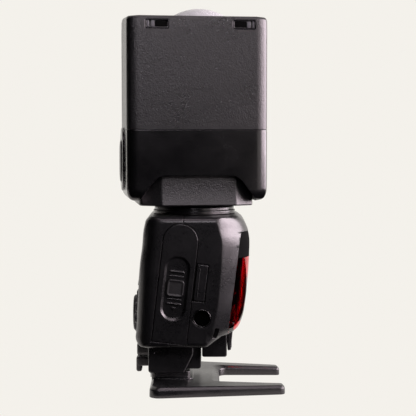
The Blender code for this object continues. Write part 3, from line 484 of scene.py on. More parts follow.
def make_foot():
    low, high = node_box("foot_block")
    side = [(low.x, high.z, 0.3), (low.x, low.z, 1.5), (-5.2, low.z, 1.2), (-0.4, 19.8, 1.5),
            (-0.4, high.z, 0.3)]
    body = pillow(fillet(side, 5), low.y, high.y, "Y", 0.7, 3)
    boss = pillow(rounded(-6, high.x, 10.7, 25.2, 1.5, 4), -14, 14, "Y", 0.6, 3)
    arc = [(SHOE_X + 17.6 * math.cos(math.radians(90 + 6 * i)), 17.6 * math.sin(math.radians(90 + 6 * i)))
           for i in range(31)]
    cuts = [
        prism(circle(10.6, 48, (SHOE_X, 0)), low.z - 1, 17.0),
        prism(arc, low.z - 1, 15.5),
        box(low.x - 2, -20.5, -5.3, 5.3, 15.3, 23.6),
        prism(circle(2.1, 24, (-11.3, 3.2)), 16, high.z + 1),
    ]
    groove = [prism(rounded(-21.0, -8.0, 20.4, 21.0, 0.25, 2), side_y - 0.35, side_y + 0.35, "Y")
              for side_y in (low.y, high.y)]
    add_piece("foot_housing", carve(body, cuts=cuts + groove, joins=[boss]), "body",
              "flash_body", ["foot_block"])

    ring = lathe([(8.3, 10.2, 0.3), (10.2, 10.2, 0.3), (10.2, 15.2, 0.3), (8.3, 15.2, 0.3)], (SHOE_X, 0))
    tab = pillow(fillet([(-24.1, -4.0, 0.3), (-24.1, 4.0, 0.3), (-31.6, 4.6, 1.6), (-31.6, -4.6, 1.6)], 5),
                 10.2, 15.2, bevel=0.9, steps=4)
    hook = pillow(rounded(-31.5, -28.6, -4.3, 4.3, 1.2, 5), 7.2, 11.2, bevel=0.9, steps=4)
    ribs = [block(-31.6, -30.9, y - 0.3, y + 0.3, 7.9, 14.2, 0.2) for y in (-3.0, -1.5, 0.0, 1.5, 3.0)]
    add_piece("lever", gather(ring, tab, hook, *ribs), "grip", "lock_lever",
              ["lock_lever"])
    knob = pillow(rounded(-4.6, 4.6, 15.6, 23.2, 2.4, 6), -31.2, -22.6, "X", 1.5, 6)
    ridges = [block(-31.2, -30.6, -3.2, 3.2, z - 0.25, z + 0.25, 0.15) for z in (18.2, 19.5, 20.8)]
    add_piece("release_knob", gather(knob, *ridges), "grip", "lock_release",
              ["lock_release"])


# ---------------------------------------------------------------- body

BODY_HALF = 37.0
# Side outline of the body: x, z, plan radius of that edge, and how far its end drops in.
BODY_SIDE = (
    (-25.5, 26.0, 4.0, -2.5), (-28.6, 26.9, 6.0, -1.8), (-30.2, 29.8, 8.0, 0.0), (-29.9, 34.5, 8.0, 0.0),
    (-29.6, 40.0, 8.0, 0.0), (-28.9, 53.6, 8.0, 0.0), (-27.9, 69.2, 8.0, 0.0), (-26.8, 77.5, 8.0, 0.0),
    (-25.4, 89.5, 8.0, 0.5), (-24.6, 92.0, 8.0, 1.5), (-22.5, 93.5, 7.0, 2.5), (-18.0, 93.6, 5.6, 2.5),
    (-8.0, 93.6, 2.5, 2.5), (0.0, 93.6, 0.0, 2.5), (8.0, 93.6, 3.9, 2.5), (18.0, 93.6, 8.8, 2.5),
    (22.5, 93.5, 11.0, 2.5), (25.9, 91.4, 13.5, 1.5), (28.2, 87.4, 15.0, 0.5), (29.4, 83.0, 15.0, 0.0),
    (29.6, 73.0, 15.0, 0.0), (28.6, 57.9, 15.0, 0.0), (27.5, 47.3, 15.0, 0.0), (25.9, 38.9, 15.0, 0.0),
    (23.6, 34.2, 14.0, -0.5), (20.5, 32.1, 12.0, -1.8), (16.5, 31.2, 9.0, -2.3), (11.0, 28.7, 4.4, -2.5),
    (5.5, 26.0, 0.0, -2.5), (1.0, 26.0, 0.0, -2.5), (-8.0, 26.0, 1.0, -2.5), (-18.0, 26.0, 2.5, -2.5),
)
EDGE_RADIUS = 2.5
PLAN_RADIUS = 23.4
CREASE = math.radians(24.0)
CREASE_STEP = 0.1
CREASE_START, CREASE_FULL = 4.0, 9.0  # the creased edge blends in between these X
SIDE_BLEND = 6.0  # nearer to X 0 than this an edge is drawn in less
LOW_EASE, HIGH_EASE = (38.0, 12.0), (81.0, 12.6)  # where shrink lifts the low end and drops the top


def smooth_rows(rows, per):
    """Rows on a smooth curve through the given rows of a closed outline."""
    points = [Vector(row) for row in rows]
    count = len(points)
    spans = [(points[(i + 1) % count].xy - points[i].xy).length for i in range(count)]
    slopes = []
    for i in range(count):
        before, after = spans[i - 1], spans[i]
        rise = (points[(i + 1) % count] - points[i]) * before / after
        fall = (points[i] - points[i - 1]) * after / before
        slopes.append((rise + fall) / (before + after))
    smooth = []
    for i in range(count):
        k = (i + 1) % count
        for step in range(per):
            t = step / per
            smooth.append(points[i] * (2 * t ** 3 - 3 * t ** 2 + 1) + points[k] * (3 * t ** 2 - 2 * t ** 3)
                          + slopes[i] * spans[i] * (t ** 3 - 2 * t ** 2 + t)
                          + slopes[k] * spans[i] * (t ** 3 - t ** 2))
    return smooth


def edge_drop(radius, depth):
    """How far a rounded edge is drawn in at a depth behind the face it starts from."""
    if depth >= radius:
        return 0.0
    return radius - math.sqrt(max(0.0, radius ** 2 - (radius - depth) ** 2))


def creased_drop(radius, depth):
    """Like edge_drop, for a wide edge that starts with a crease and turns more slowly."""
    wide = (radius + CREASE_STEP) / (1 - math.sin(CREASE))
    turn = math.cos(CREASE) - depth / wide
    return wide * (1 - math.sqrt(1 - turn * turn)) if turn > 0 else 0.0


def ease(share):
    share = max(0.0, min(1.0, share))
    return share * share * (3.0 - 2.0 * share)


def body_ring(y, depth, shrink, rows):
    """The body's outline at a depth behind its end face, drawn in by shrink."""
    ring = []
    for x, z, radius, drop in rows:
        inward = max(-1.0, min(1.0, -x / SIDE_BLEND))
        fall = edge_drop(EDGE_RADIUS, depth) * max(-1.0, min(1.0, drop / EDGE_RADIUS))
        lift = shrink * (ease((LOW_EASE[0] - z) / LOW_EASE[1]) - ease((z - HIGH_EASE[0]) / HIGH_EASE[1]))
        drop_in = creased_drop(radius, depth) if x > CREASE_FULL else edge_drop(max(radius, 0.0), depth)
        if CREASE_START < x <= CREASE_FULL:
            share = (x - CREASE_START) / (CREASE_FULL - CREASE_START)
            drop_in = share * creased_drop(max(radius, 0.0), depth) + (1 - share) * drop_in
        ring.append((x + inward * (drop_in + shrink), y, z - fall + lift))
    return ring


def body_solid(shrink=0.0, per=5, turns=12):
    """The body's whole form drawn in by shrink, with per rows a span and turns rings an end."""
    rows = smooth_rows(BODY_SIDE, per)
    half = BODY_HALF - shrink
    depths = [PLAN_RADIUS * (1 - math.cos(math.radians(90 * k / turns))) for k in range(turns + 1)]
    rings = [body_ring(-half, 0.0, shrink + 0.5, rows)]
    rings += [body_ring(-half + depth, depth, shrink, rows) for depth in depths]
    rings += [body_ring(half - depth, depth, shrink, rows) for depth in reversed(depths)]
    rings.append(body_ring(half, 0.0, shrink + 0.5, rows))
    return loft(rings)


def body_inside(shrink=0.0):
    """The room inside the shells, or less of it, with coarser steps than the outer face."""
    return body_solid(WALL + shrink, 2, 6)


DOOR_AT = (-12.6, 29.0)
SPLIT_AT = (-12.7, 26.0)
DISPLAY_AT = (-29.3, 57.0)


def leaning(v, u, at=DOOR_AT):
    """World X and Z of a point v across and u up a frame that leans with the body."""
    return (at[0] + v * math.cos(LEAN) + u * math.sin(LEAN), at[1] - v * math.sin(LEAN) + u * math.cos(LEAN))


def lean_outline(outline, at=DOOR_AT):
    return [leaning(v, u, at) for v, u in outline]


def half_space(front, offset):
    far = 70.0 if front else -70.0
    return prism(lean_outline([(offset, -30), (offset, 100), (far, 100), (far, -30)], SPLIT_AT), -60, 60, "Y")


DOOR_HALF = 9.1
DOOR_ARCH = 52.5
DOOR_FOOT = -0.3
TERMINAL = (3.8, 59.9, 2.8, 9.4)  # middle X and Z, half width, half height
SOCKET = (4.4, 41.6)
FUNCTION_Y = (-19.5, -6.5, 6.5, 19.5)
ROUND_KEYS = {"test_button": (-16.5, 44.5), "mode_button": (-25.0, 40.0), "wireless_button": (-17.0, 34.0)}
DIAL_Z = 39.1
SWITCH_Y = 22.0
WINDOW_LOW, WINDOW_HIGH, BROW_HIGH = 32.8, 72.0, 85.3


def door_outline(grow=0.0, steps=24):
    half = DOOR_HALF + grow
    points = [(half, DOOR_FOOT - grow)]
    for i in range(steps + 1):
        t = math.pi * i / steps
        points.append((half * math.cos(t), DOOR_ARCH + half * math.sin(t)))
    points.append((-half, DOOR_FOOT - grow))
    return lean_outline(points)


def terminal_outline(grow=0.0, radius=0.4):
    x, z, half, tall = TERMINAL
    return lean_outline(rounded(-half - grow, half + grow, -tall - grow, tall + grow, radius, 3), (x, z))


def front_zone(low, high, grow=0.0):
    """The front of the body between two heights, its rear edge leaning like the window's."""
    slope = (24.3 - 19.2) / (WINDOW_HIGH - WINDOW_LOW)
    start = [(18.0 + slope * (z - WINDOW_LOW) - grow, z) for z in (high + grow, low - grow)]
    return prism(start + [(50, low - grow), (50, high + grow)], -50, 50, "Y")


def make_shells():
    """The two body shells with their openings, the dark brow and the red window under it."""
    openings = {True: [front_zone(WINDOW_LOW, BROW_HIGH, 0.12), prism(terminal_outline(0.5), -40, -20, "Y"),
                     prism(circle(4.85, 48, SOCKET), -40, -20, "Y"),
                     prism(fillet([(9.6, 30.9, 0.6), (11.8, 30.6, 0.6), (13.4, 36.0, 0.6), (11.2, 36.4, 0.6)], 5),
                           -40, -33.6, "Y")],
              False: [prism(rounded(-24.4, 24.4, 56.5, 88.8, 0.8, 4), -45, -20, "X")]}
    for y in FUNCTION_Y:
        openings[False].append(prism(rounded(y - 4.75, y + 4.75, 49.75, 54.55, 1.1, 4), -45, -20, "X"))
    holes = [(3.0, (0, DIAL_Z)), (2.2, (SWITCH_Y, DIAL_Z))] + [(3.05, centre) for centre in ROUND_KEYS.values()]
    openings[False] += [prism(circle(radius, 28, centre), -45, -20, "X") for radius, centre in holes]
    for front, name, node in ((True, "front_case", "front_shell"), (False, "rear_case", "rear_shell")):
        cuts = [body_inside(), prism(door_outline(0.25), -50, -20, "Y"), prism(circle(10.5, 48), 88, 96)]
        shell = carve(body_solid(), keeps=[half_space(front, SEAM if front else -SEAM)],
                      cuts=cuts + openings[front])
        add_piece(name, shell, "body", "flash_body", [node])
    # the brow is black in its own right; the shade black, which hardly reflects, adds painted shade that keeps it
    # near black
    brow = carve(body_solid(0.15), keeps=[front_zone(WINDOW_HIGH + 0.06, BROW_HIGH - 0.08)], cuts=[body_inside()])
    add_piece("front_brow", brow, "shade_black", "flash_body")
    window = carve(body_solid(0.05), keeps=[front_zone(WINDOW_LOW, WINDOW_HIGH)], cuts=[body_inside()])
    add_piece("red_window", window, "red", "flash_body", ["sensor_window"])


def make_lamp():
    """What shows through the red window: a ribbed carrier, walls, pale red blocks that are painted highlights,
    and lamps in cups.
    """
    carrier = block(11.0, 15.5, -30.0, 30.0, 34.5, 70.5, 0.6)
    shelves = [block(15.0, 21.0, -29.0, 29.0, z - 0.6, z + 0.6, 0.3) for z in (37.5, 53.8, 61.5)]
    posts = [block(15.0, 20.6, y - 0.8, y + 0.8, 37.0, 69.0, 0.3) for y in (-26.0, -15.0, 0.0, 15.0, 26.0)]
    add_piece("lamp_carrier", gather(carrier, *shelves, *posts), "lamp", "flash_body",
              ["af_lamp_block"])
    walls = []
    for x, y in ((21.0, -19.6), (11.5, -15.0), (11.5, 0.0), (11.5, 15.0), (11.5, 28.5)):
        walls.append(carve(box(x, 29.5, y, y + 1.0, 33.5, 71.5), keeps=[body_inside(0.9)]))
    add_piece("lamp_walls", gather(*walls), "lamp", "flash_body")
    # blocks painted pale red where light catches inside the window: painted highlights, not lamps
    glint_blocks = [pillow(rounded(22.9, 26.2, 61.0, 66.2, 0.6, 4), -21.0, -19.5, "Y", 0.5, 3),
             pillow(rounded(22.6, 25.8, 51.0, 55.4, 1.4, 4), -20.8, -19.5, "Y", 0.5, 3),
             pillow(circle(1.7, 28, (22.3, 44.0)), -20.8, -19.5, "Y", 0.5, 3),
             pillow(rounded(20.9, 23.0, 36.4, 38.8, 0.6, 4), -20.6, -19.5, "Y", 0.4, 3)]
    glint_blocks = carve(gather(*glint_blocks), keeps=[body_inside(0.4)])
    add_piece("lamp_painted_glints", glint_blocks, "painted_glint", "flash_body")
    domes = []
    cups = []
    for y in (-20.5, -7.5, 7.5, 20.5):
        for z, radius in ((45.6, 5.2), (57.6, 2.6), (66.0, 3.0)):
            cup = [(radius + 0.4, 16.0, 0.2), (radius + 0.9, 20.6, 0.2), (radius, 20.6, 0.2),
                   (radius * 0.4, 16.0, 0)]
            cups.append(lathe(cup, (y, z), "X", 40))
            dome = [(radius * math.sin(math.radians(a)) * 0.8, 17.0 + radius * 0.7 * math.cos(math.radians(a)))
                    for a in (90, 75, 60, 45, 30, 15, 1)]
            domes.append(loft([[place("X", a, b, x) for a, b in circle(r, 32, (y, z))] for r, x in dome]))
    add_piece("lamp_cups", gather(*cups), "chrome", "flash_body")
    add_piece("lamp_lenses", gather(*domes), "lens", "flash_body")


def make_door():
    front = -BODY_HALF
    door = pillow(door_outline(), front, front + 2.4, "Y", 0.45, 4, (True, False))
    ring = fillet([(-6.7, 11.2, 6.6), (6.7, 11.2, 6.6), (6.7, 45.2, 6.6), (-6.7, 45.2, 6.6)], 10)
    scoop = [(0.35, front - 0.5), (0.0, front - 0.05), (-0.25, front + 0.12), (-1.2, front + 0.85),
             (-1.6, front + 1.1)]
    rings = [[place("Y", *leaning(*point), y) for point in inset(ring, -grow)] for grow, y in scoop]
    door = carve(door, cuts=[loft(rings)])
    ribs = []
    for u, top in ((36.9, 0.25), (34.4, 1.0), (22.4, 1.0), (20.2, 0.25)):
        bar = lean_outline(rounded(-3.7, 3.7, u - 0.35, u + 0.35, 0.3, 3))
        ribs.append(pillow(bar, front + top, front + 1.3, "Y", min(0.25, 1.2 - top), 2, (True, False)))
    arrow = lean_outline(fillet([(-1.2, 18.4, 0.2), (0.0, 16.6, 0.2), (1.2, 18.4, 0.2)], 2))
    ribs.append(pillow(arrow, front + 0.75, front + 1.3, "Y", 0.12, 2, (True, False)))
    add_piece("door", gather(door, *ribs), "body", "battery_door", ["battery_door"])
    square = fillet([(-4.5, 23.8, 1.8), (4.5, 23.8, 1.8), (4.5, 32.8, 1.8), (-4.5, 32.8, 1.8)], 6)
    slope = [(0.0, front + 0.95), (0.05, front + 0.5), (0.3, front + 0.14), (0.7, front + 0.08),
             (1.1, front + 0.3),
             (1.6, front + 0.4)]
    rings = [[place("Y", *leaning(*point), y) for point in inset(square, depth)] for depth, y in slope]
    add_piece("latch", loft(rings), "grip", "door_latch", ["door_latch"])


def make_side_ports():
    x, z, half, tall = TERMINAL
    plate = pillow(terminal_outline(), -37.15, -35.5, "Y", 0.3, 3)
    ridge = pillow(lean_outline(rounded(-1.4, -1.1, -7.9, 7.2, 0.12, 2), (x, z)), -37.3, -36.9, "Y", 0.08, 1)
    add_piece("port_cover", gather(plate, ridge), "body", "terminal_cover",
              ["terminal_cover"])
    collar = lathe([(4.1, -37.2, 0.18), (4.6, -37.2, 0.18), (4.6, -30.0, 0), (4.1, -30.0, 0)], SOCKET, "Y")
    plug = lathe([(AXIS, -32.0, 0), (4.08, -32.0, 0), (4.08, -30.2, 0), (AXIS, -30.2, 0)], SOCKET, "Y",
                 tube=False)
    add_piece("socket", collar, "smooth", "flash_body", ["sync_socket"])
    # the socket's floor and pin take the shade black: painted shade that makes the bore read as a black hole
    add_piece("socket_floor", plug, "shade_black", "flash_body")
    pin = lathe([(AXIS, -33.6, 0), (0.6, -33.6, 0.2), (0.6, -31.9, 0), (AXIS, -31.9, 0)], SOCKET, "Y", 20,
                tube=False)
    add_piece("socket_pin", pin, "shade_black", "flash_body")


def make_under_front():
    low, high = node_box("contact_housing")
    side = fillet([(low.x, 25.5, 0.3), (low.x, low.z, 1.2), (high.x, low.z, 1.2), (high.x, high.z - 0.1, 0.3),
                   (5.6, 25.5, 0.3)], 5)
    housing = pillow(side, low.y, high.y, "Y", 0.8, 4)
    add_piece("contact_box", housing, "body", "flash_body", ["contact_housing"])
    low, high = node_box("contact_cover")
    side = fillet([(low.x, low.z + 0.1, 0.5), (low.x + 1.8, low.z + 0.5, 0.6), (high.x, high.z, 0.2),
                   (low.x, high.z - 0.4, 0.2)], 4)
    cover = pillow(side, low.y, high.y, "Y", 0.5, 3)
    ribs = [block(low.x + 0.9, high.x - 0.5, y - 0.4, y + 0.4, low.z + 1.2, high.z - 1.4, 0.2)
            for y in (-9.0, -4.5, 0.0, 4.5, 9.0)]
    add_piece("contact_flap", gather(cover, *ribs), "grip", "flash_body",
              ["contact_cover"])


def make_rear_controls():
    """The display and the keys of the rear face, which the photo doesn't show."""
    low, high = node_box("display_window")
    outline = lean_outline([(0.0, 0.0), (2.0, 0.0), (2.0, 31.6), (0.0, 31.6)], DISPLAY_AT)
    panel = pillow(fillet([(x, z, 0.35) for x, z in outline], 3), low.y, high.y, "Y", 0.35, 3)
    add_piece("display_bezel", panel, "gloss", "flash_body", ["display_window"])
    screen = lean_outline([(-0.04, 4.0), (0.3, 4.0), (0.3, 28.0), (-0.04, 28.0)], DISPLAY_AT)
    add_piece("display_screen", pillow(screen, -19.5, 19.5, "Y", 0.03, 1), "display", "flash_body")
    for number, y in enumerate(FUNCTION_Y, start=1):
        key = pillow(rounded(y - 4.4, y + 4.4, 50.1, 54.2, 0.9, 5), -29.9, -26.0, "X", 0.5, 4)
        dot = pillow(rounded(y - 1.4, y + 1.4, 51.95, 52.35, 0.18, 3), -30.0, -29.6, "X", 0.08, 1)
        node = f"function_button_{number}"
        add_piece(f"key_{number}", gather(key, dot), "key", node, [node])
    for name, centre in ROUND_KEYS.items():
        shape = lathe([(AXIS, -30.7, 0), (1.7, -30.9, 0.5), (2.3, -31.0, 0.3), (2.7, -30.5, 0.4), (2.7, -26.2, 0),
                       (AXIS, -26.2, 0)], centre, "X", 36, tube=False)
        add_piece(f"{name}_cap", shape, "key", name, [name])
    make_dial()


def make_dial():
    ridges = 48
    profile = fillet([(5.9, -30.5, 0.1), (9.8, -30.5, 0.2), (9.8, -32.1, 0.6), (8.9, -32.9, 0.5),
                      (5.9, -32.9, 0.3)], 3)
    rings = []
    for radius, x in profile:
        ring = []
        for i in range(ridges * 4):
            t = math.tau * i / (ridges * 4)
            wave = 0.28 * max(0.0, math.cos(t * ridges)) if radius > 8.6 else 0.0
            ring.append(place("X", (radius - wave) * math.cos(t), DIAL_Z + (radius - wave) * math.sin(t), x))
        rings.append(ring)
    marks = []
    for k in range(4):
        t = math.tau * k / 4
        centre = Vector((7.4 * math.cos(t), DIAL_Z + 7.4 * math.sin(t)))
        out = Vector((math.cos(t), math.sin(t)))
        side = Vector((-out.y, out.x))
        tri = [centre + out * 0.75, centre - out * 0.45 + side * 0.8, centre - out * 0.45 - side * 0.8]
        marks.append(pillow([tuple(p) for p in tri], -32.95, -32.6, "X", 0.06, 1))
    add_piece("dial", loft(rings, closed=True), "grip", "select_dial", ["select_dial"])
    add_piece("dial_marks", gather(*marks), "mark", "select_dial")
    cap = [(AXIS, -32.5, 0), (3.4, -32.6, 1.5), (4.4, -32.9, 0.5), (5.5, -32.3, 0.5), (5.5, -30.85, 0.2),
           (2.5, -30.85, 0),
           (2.5, -26.0, 0), (AXIS, -26.0, 0)]
    add_piece("set_cap", lathe(cap, (0, DIAL_Z), "X", 56, tube=False), "key", "set_button",
              ["set_button"])
    disc = [(AXIS, -31.9, 0), (4.6, -32.0, 0.4), (5.6, -31.4, 0.4), (5.6, -30.5, 0.1), (1.8, -30.5, 0),
            (1.8, -26.0, 0),
            (AXIS, -26.0, 0)]
    switch = lathe(disc, (SWITCH_Y, DIAL_Z), "X", 56, tube=False)
    lever = pillow(rounded(SWITCH_Y - 1.1, SWITCH_Y + 1.1, DIAL_Z - 1.5, DIAL_Z + 7.2, 1.0, 5), -32.7, -30.7, "X",
                   0.4, 3)
    add_piece("switch", gather(switch, lever), "grip", "power_switch", ["power_switch"])
    dot = lathe([(AXIS, -32.75, 0), (0.45, -32.75, 0.1), (0.45, -32.4, 0), (AXIS, -32.4, 0)],
                (SWITCH_Y, DIAL_Z + 5.9), "X", 20, tube=False)
    add_piece("switch_mark", dot, "mark", "power_switch")


# ---------------------------------------------------------------- collar, neck and head

PIVOT_Z = 124.0
PIVOT_BORE = 3.8
DRUM_RADIUS = 25.5  # the neck is round about the pivot
HEAD_X = 36.9
HEAD_NEAR = -28.0
HEAD_FAR = 24.5
HEAD_SEAM = 138.6
HEAD_TOP = 198.0
EAR_X = 30.8
PANEL_X = 30.7
CHAMFER = 2.6
HEAD_RISE = 4.0
HEAD_SHOULDER = 192.5
POCKETS = {"left": (-27.5, -15.0), "right": (18.1, 30.4)}
POCKET_LOW, POCKET_HIGH = 190.3, 195.4


def pivot_bore(low, high):
    return prism(circle(PIVOT_BORE, 32, (0, PIVOT_Z)), low, high, "X")


def make_collar():
    low, high = node_box("swivel_collar")
    radius = high.x
    rim = [(11.0, low.z, 0.2), (radius, low.z, 0.3), (radius, 95.7, 0.35), (21.5, 96.1, 0.15), (21.5, 97.3, 0.3),
           (20.6, high.z, 0.4), (11.0, high.z, 0.2)]
    add_piece("collar", lathe(rim, (0, 0), count=96), "smooth", "flash_body",
              ["swivel_collar"])


def make_neck():
    plan = fillet([(-30, -19.5, 4), (-18.5, -25.5, 2.5), (20.5, -25.5, 1.2), (30, -20.6, 3), (30, 21.5, 5),
                   (-30, 21.5, 5)], 8)
    start = math.acos(21.5 / DRUM_RADIUS)
    drum = [start + (math.pi - start) * i / 48 for i in range(49)]
    side = [(DRUM_RADIUS * math.cos(t), PIVOT_Z + DRUM_RADIUS * math.sin(t)) for t in drum]
    side += [(-25.5, 97), (21.5, 97)]
    cuts = [box(-24, 24, -20.5, 17, 104, PIVOT_Z + 40), prism(circle(9.9, 40, (-HEAD_SHIFT, 0)), 90, 110),
            pivot_bore(-40, 40)]
    levels = [(98.8, 0.6, 0.0), (99.0, 0.25, 0.0), (99.4, 0.0, 0.0), (101.0, 0.0, 0.42), (103.0, 0.0, 0.85),
              (106.0, 0.0, 1.3), (110.0, 0.0, 1.65), (115.0, 0.0, 1.85), (PIVOT_Z + 30, 0.0, 1.9)]
    rings = []
    for z, shrink, back in levels:
        rings.append([(x, y + back * max(0.0, -y / 25.5), z) for x, y in inset(plan, shrink)])
    neck = carve(loft(rings), keeps=[prism(side, -40, 40, "X")], cuts=cuts)
    add_piece("neck", neck, "neck", "neck", ["neck_block"], head=True)


def head_outline(shrink, corner=6.0):
    """Plan of the head: a flat near face between two creased, sloping corners."""
    x, near, far = HEAD_X - shrink, HEAD_NEAR + shrink, HEAD_FAR - shrink
    edge = min(PANEL_X, x - 0.6)
    corners = [(-x, near + CHAMFER, corner * 0.6), (-edge, near, 0), (edge, near, 0),
               (x, near + CHAMFER, corner * 0.6),
               (x, far, corner), (-x, far, corner)]
    return fillet(corners, 8)


def head_ring(z, shrink, corner=5.9, crown=0.0):
    """The head's plan at a height; above the shoulder it rises to the far side."""
    rise = HEAD_RISE * max(0.0, z - HEAD_SHOULDER) / (HEAD_TOP - HEAD_SHOULDER) / (HEAD_FAR - HEAD_NEAR)
    return [(x, y, z + rise * (y - HEAD_NEAR) - crown * (abs(x) / HEAD_X) ** 3)
            for x, y in head_outline(shrink, corner)]


def head_loft(levels, crown=0.0):
    return loft([head_ring(z, shrink, corner, crown if z > 190 else 0.0) for z, shrink, corner in levels])


def make_head():
    """The head's lower and upper shells, the lip in their seam in painted shade black, and what sits on them."""
    low = 101.5
    levels = [(low, 4.2, 3.2), (low + 0.5, 2.6, 3.8), (low + 1.3, 1.5, 4.6), (low + 2.6, 0.7, 5.2),
              (low + 4.2, 0.2, 5.7), (low + 6.5, 0.0, 5.9), (HEAD_SEAM - 0.25, 0.0, 5.9),
              (HEAD_SEAM - 0.06, 0.12, 5.8)]
    arch = fillet([(-EAR_X, 90, 0), (-EAR_X, 101.5, 1.5), (-21.0, 114.8, 9.0), (21.0, 114.8, 9.0),
                   (EAR_X, 101.5, 1.5), (EAR_X, 90, 0)], 10)
    far = [math.radians(-32 - 19 * i / 12) for i in range(13)]
    arc = [(29.0 * math.cos(t), PIVOT_Z + 29.0 * math.sin(t)) for t in far]
    arc += [(arc[-1][0], 90), (40, 90), (40, arc[0][1])]
    cuts = [box(-EAR_X, EAR_X, HEAD_NEAR + WALL, 40, 90, 150), prism(arch, -40, -20, "Y"),
            prism(arc, -50, 50, "X"),
            pivot_bore(-34.4, -20), pivot_bore(20, 34.4),
            prism(circle(3.1, 32, (0, 122.0)), -50, -34, "X")]
    add_piece("head_lower", carve(head_loft(levels), cuts=cuts), "smooth", "head",
              ["head_rear_shell"], head=True)

    # the lip takes the shade black, which hardly reflects: painted shade in the gap between the two shells
    lip = carve(head_loft([(HEAD_SEAM - 1.4, 0.5, 5.4), (HEAD_SEAM + 1.4, 0.5, 5.4)]),
                cuts=[prism(rounded(-35.2, 35.2, -26.3, 22.8, 4.0, 6), 130, 145),
                      box(-EAR_X, EAR_X, 10, 40, 130, 145)])
    add_piece("head_lip", lip, "shade_black", "head", head=True)

    top = HEAD_TOP - 0.3
    levels = [(HEAD_SEAM + 0.06, 0.12, 5.8), (HEAD_SEAM + 0.25, 0.0, 5.9), (top - 5.5, 0.0, 5.9),
              (top - 1.6, 0.1, 5.8),
              (top - 0.8, 0.35, 5.6), (top - 0.25, 0.75, 5.2), (top, 1.3, 4.8)]
    inner = loft([[(x, y, z) for x, y in rounded(-34.9, 34.9, -26.0, 22.5, 4.0, 6)] for z in (130, 210)])
    cuts = [inner, box(-EAR_X, EAR_X, 10, 40, 130, 150.5), box(-40, -35.4, 17.4, 19.6, 184.6, 187.0)]
    for start, end in POCKETS.values():
        cuts.append(prism(rounded(start, end, POCKET_LOW, POCKET_HIGH, 0.9, 4), -40, HEAD_NEAR + 1.45, "Y"))
    upper = carve(head_loft(levels, 1.1), cuts=cuts)
    add_piece("head_upper", upper, "panel", "head", ["head_front_shell"], head=True)
    make_pockets()
    make_side_covers()
    make_lens()


def make_pockets():
    """The finger pockets of the two pull-out panels: a block in painted shade black where each slot is, beside
    two pale tab ends.
    """
    holes = []
    strips = []
    lips = []
    for (start, end), outward in zip(POCKETS.values(), (-1, 1)):
        rim = carve(prism(rounded(start, end, POCKET_LOW, POCKET_HIGH, 0.9, 4), -27.9, -26.65, "Y"),
                    cuts=[prism(rounded(start + 0.7, end - 0.7, 191.0, 194.7, 0.5, 3), -30, -20, "Y")])
        lips.append(rim)
        outer = start if outward < 0 else end
        inner = end if outward < 0 else start
        span = sorted((inner + outward * 0.9, inner + outward * 7.2))
        # a block in the shade black stands for each finger slot: painted shade
        holes.append(block(span[0], span[1], -27.4, -26.6, 191.6, 194.3, 0.2))
        for near_end, far_end in ((3.0, 4.9), (1.0, 2.1)):
            span = sorted((outer - outward * near_end, outer - outward * far_end))
            strips.append(block(span[0], span[1], -27.6, -26.6, 191.2, 194.6, 0.2))
    add_piece("pocket_rims", gather(*lips), "gloss", "head", head=True)
    add_piece("pocket_slot_shade", gather(*holes), "shade_black", "head", head=True)
    add_piece("pocket_tabs", gather(*strips), "strip", "head", head=True)


def stadium(half_y, low, high, shrink=0.0, steps=10):
    radius = half_y - shrink - 0.1
    return fillet([(-half_y + shrink, low + shrink, radius), (half_y - shrink, low + shrink, radius),
                   (half_y - shrink, high - shrink, radius), (-half_y + shrink, high - shrink, radius)], steps)


def make_side_covers():
    """The oval covers on the pivots; the left one rings the bounce release."""
    for side, name in ((-1, "left"), (1, "right")):
        levels = [(0.0, 0.3), (0.0, 0.8), (0.25, 1.15), (0.8, 1.35), (1.8, 1.4)]
        rings = [[place("X", y, z, side * (HEAD_X + out)) for y, z in stadium(11.5, 106, 140, shrink)]
                 for shrink, out in levels]
        cover = loft(rings)
        if side < 0:
            cover = carve(cover, cuts=[prism(stadium(7.8, 110.4, 133.6), -50, -30, "X")])
        add_piece(f"hinge_cover_{name}", cover, "smooth", "head",
                  [f"pivot_cover_{name}"], head=True)
    levels = [(0.0, 1.1), (0.0, 1.5), (0.3, 1.85), (0.9, 2.0), (2.4, 2.0), (4.5, 1.8)]
    rings = [[place("X", y, z, -HEAD_X - out) for y, z in stadium(7.4, 110.8, 133.2, shrink)]
             for shrink, out in levels]
    add_piece("release_cap", loft(rings), "grip", "bounce_release", ["bounce_release"],
              head=True)


def make_lens():
    """A lens plate with a round dome, whose top shows over the head's rim."""
    radius, top, centre = 26.9, 203.37, (3.4, -1.5)
    middle = top - radius
    plate = pillow(rounded(-33.5, 33.5, -21.0, 19.8, 3.0, 6), 194.5, 197.6, bevel=0.4)
    dome = []
    for k in range(26):
        angle = math.radians(46.0 * (1 - k / 25))
        dome.append((radius * math.sin(angle), middle + radius * math.cos(angle)))
    shell = loft([[place("Z", a, b, z) for a, b in circle(max(r, 0.05), 96, centre)] for r, z in dome])
    lens = carve(plate, joins=[shell])
    add_piece("lens", lens, "dome", "head", ["front_lens"], head=True)


# ---------------------------------------------------------------- inside pieces and CAD finishes

CAD_FINISHES = {
    "steel": ("shoe_foot", "lock_pin", "swivel_shaft", "tilt_axle", "lead_screw", "zoom_motor"),
    "brass": (*(f"foot_contact_{k}" for k in range(1, 5)), "inner_contact", "door_contact"),
    "chrome": ("reflector",),
    "tube": ("flash_tube",),
    "lens": ("wide_panel",),
    "card": ("catchlight_card",),
    "grip": ("zoom_carriage", "terminal_block"),
    "body": ("battery_holder",),
    "board": ("main_board", "trigger_board"),
    "cell": (*(f"battery_{k}" for k in range(1, 5)), "main_capacitor"),
}


def finish_cad_nodes():
    """Gives the nodes that keep their CAD shape a detailed material."""
    for finish, nodes in CAD_FINISHES.items():
        for node in nodes:
            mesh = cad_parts[node].data
            mesh.materials.clear()
            mesh.materials.append(MATERIALS[finish])


# ---------------------------------------------------------------- studio

CREAM = (0.904, 0.88, 0.831)
LILAC = (1.0, 0.91, 0.97)
COOL = (0.97, 0.96, 1.0)
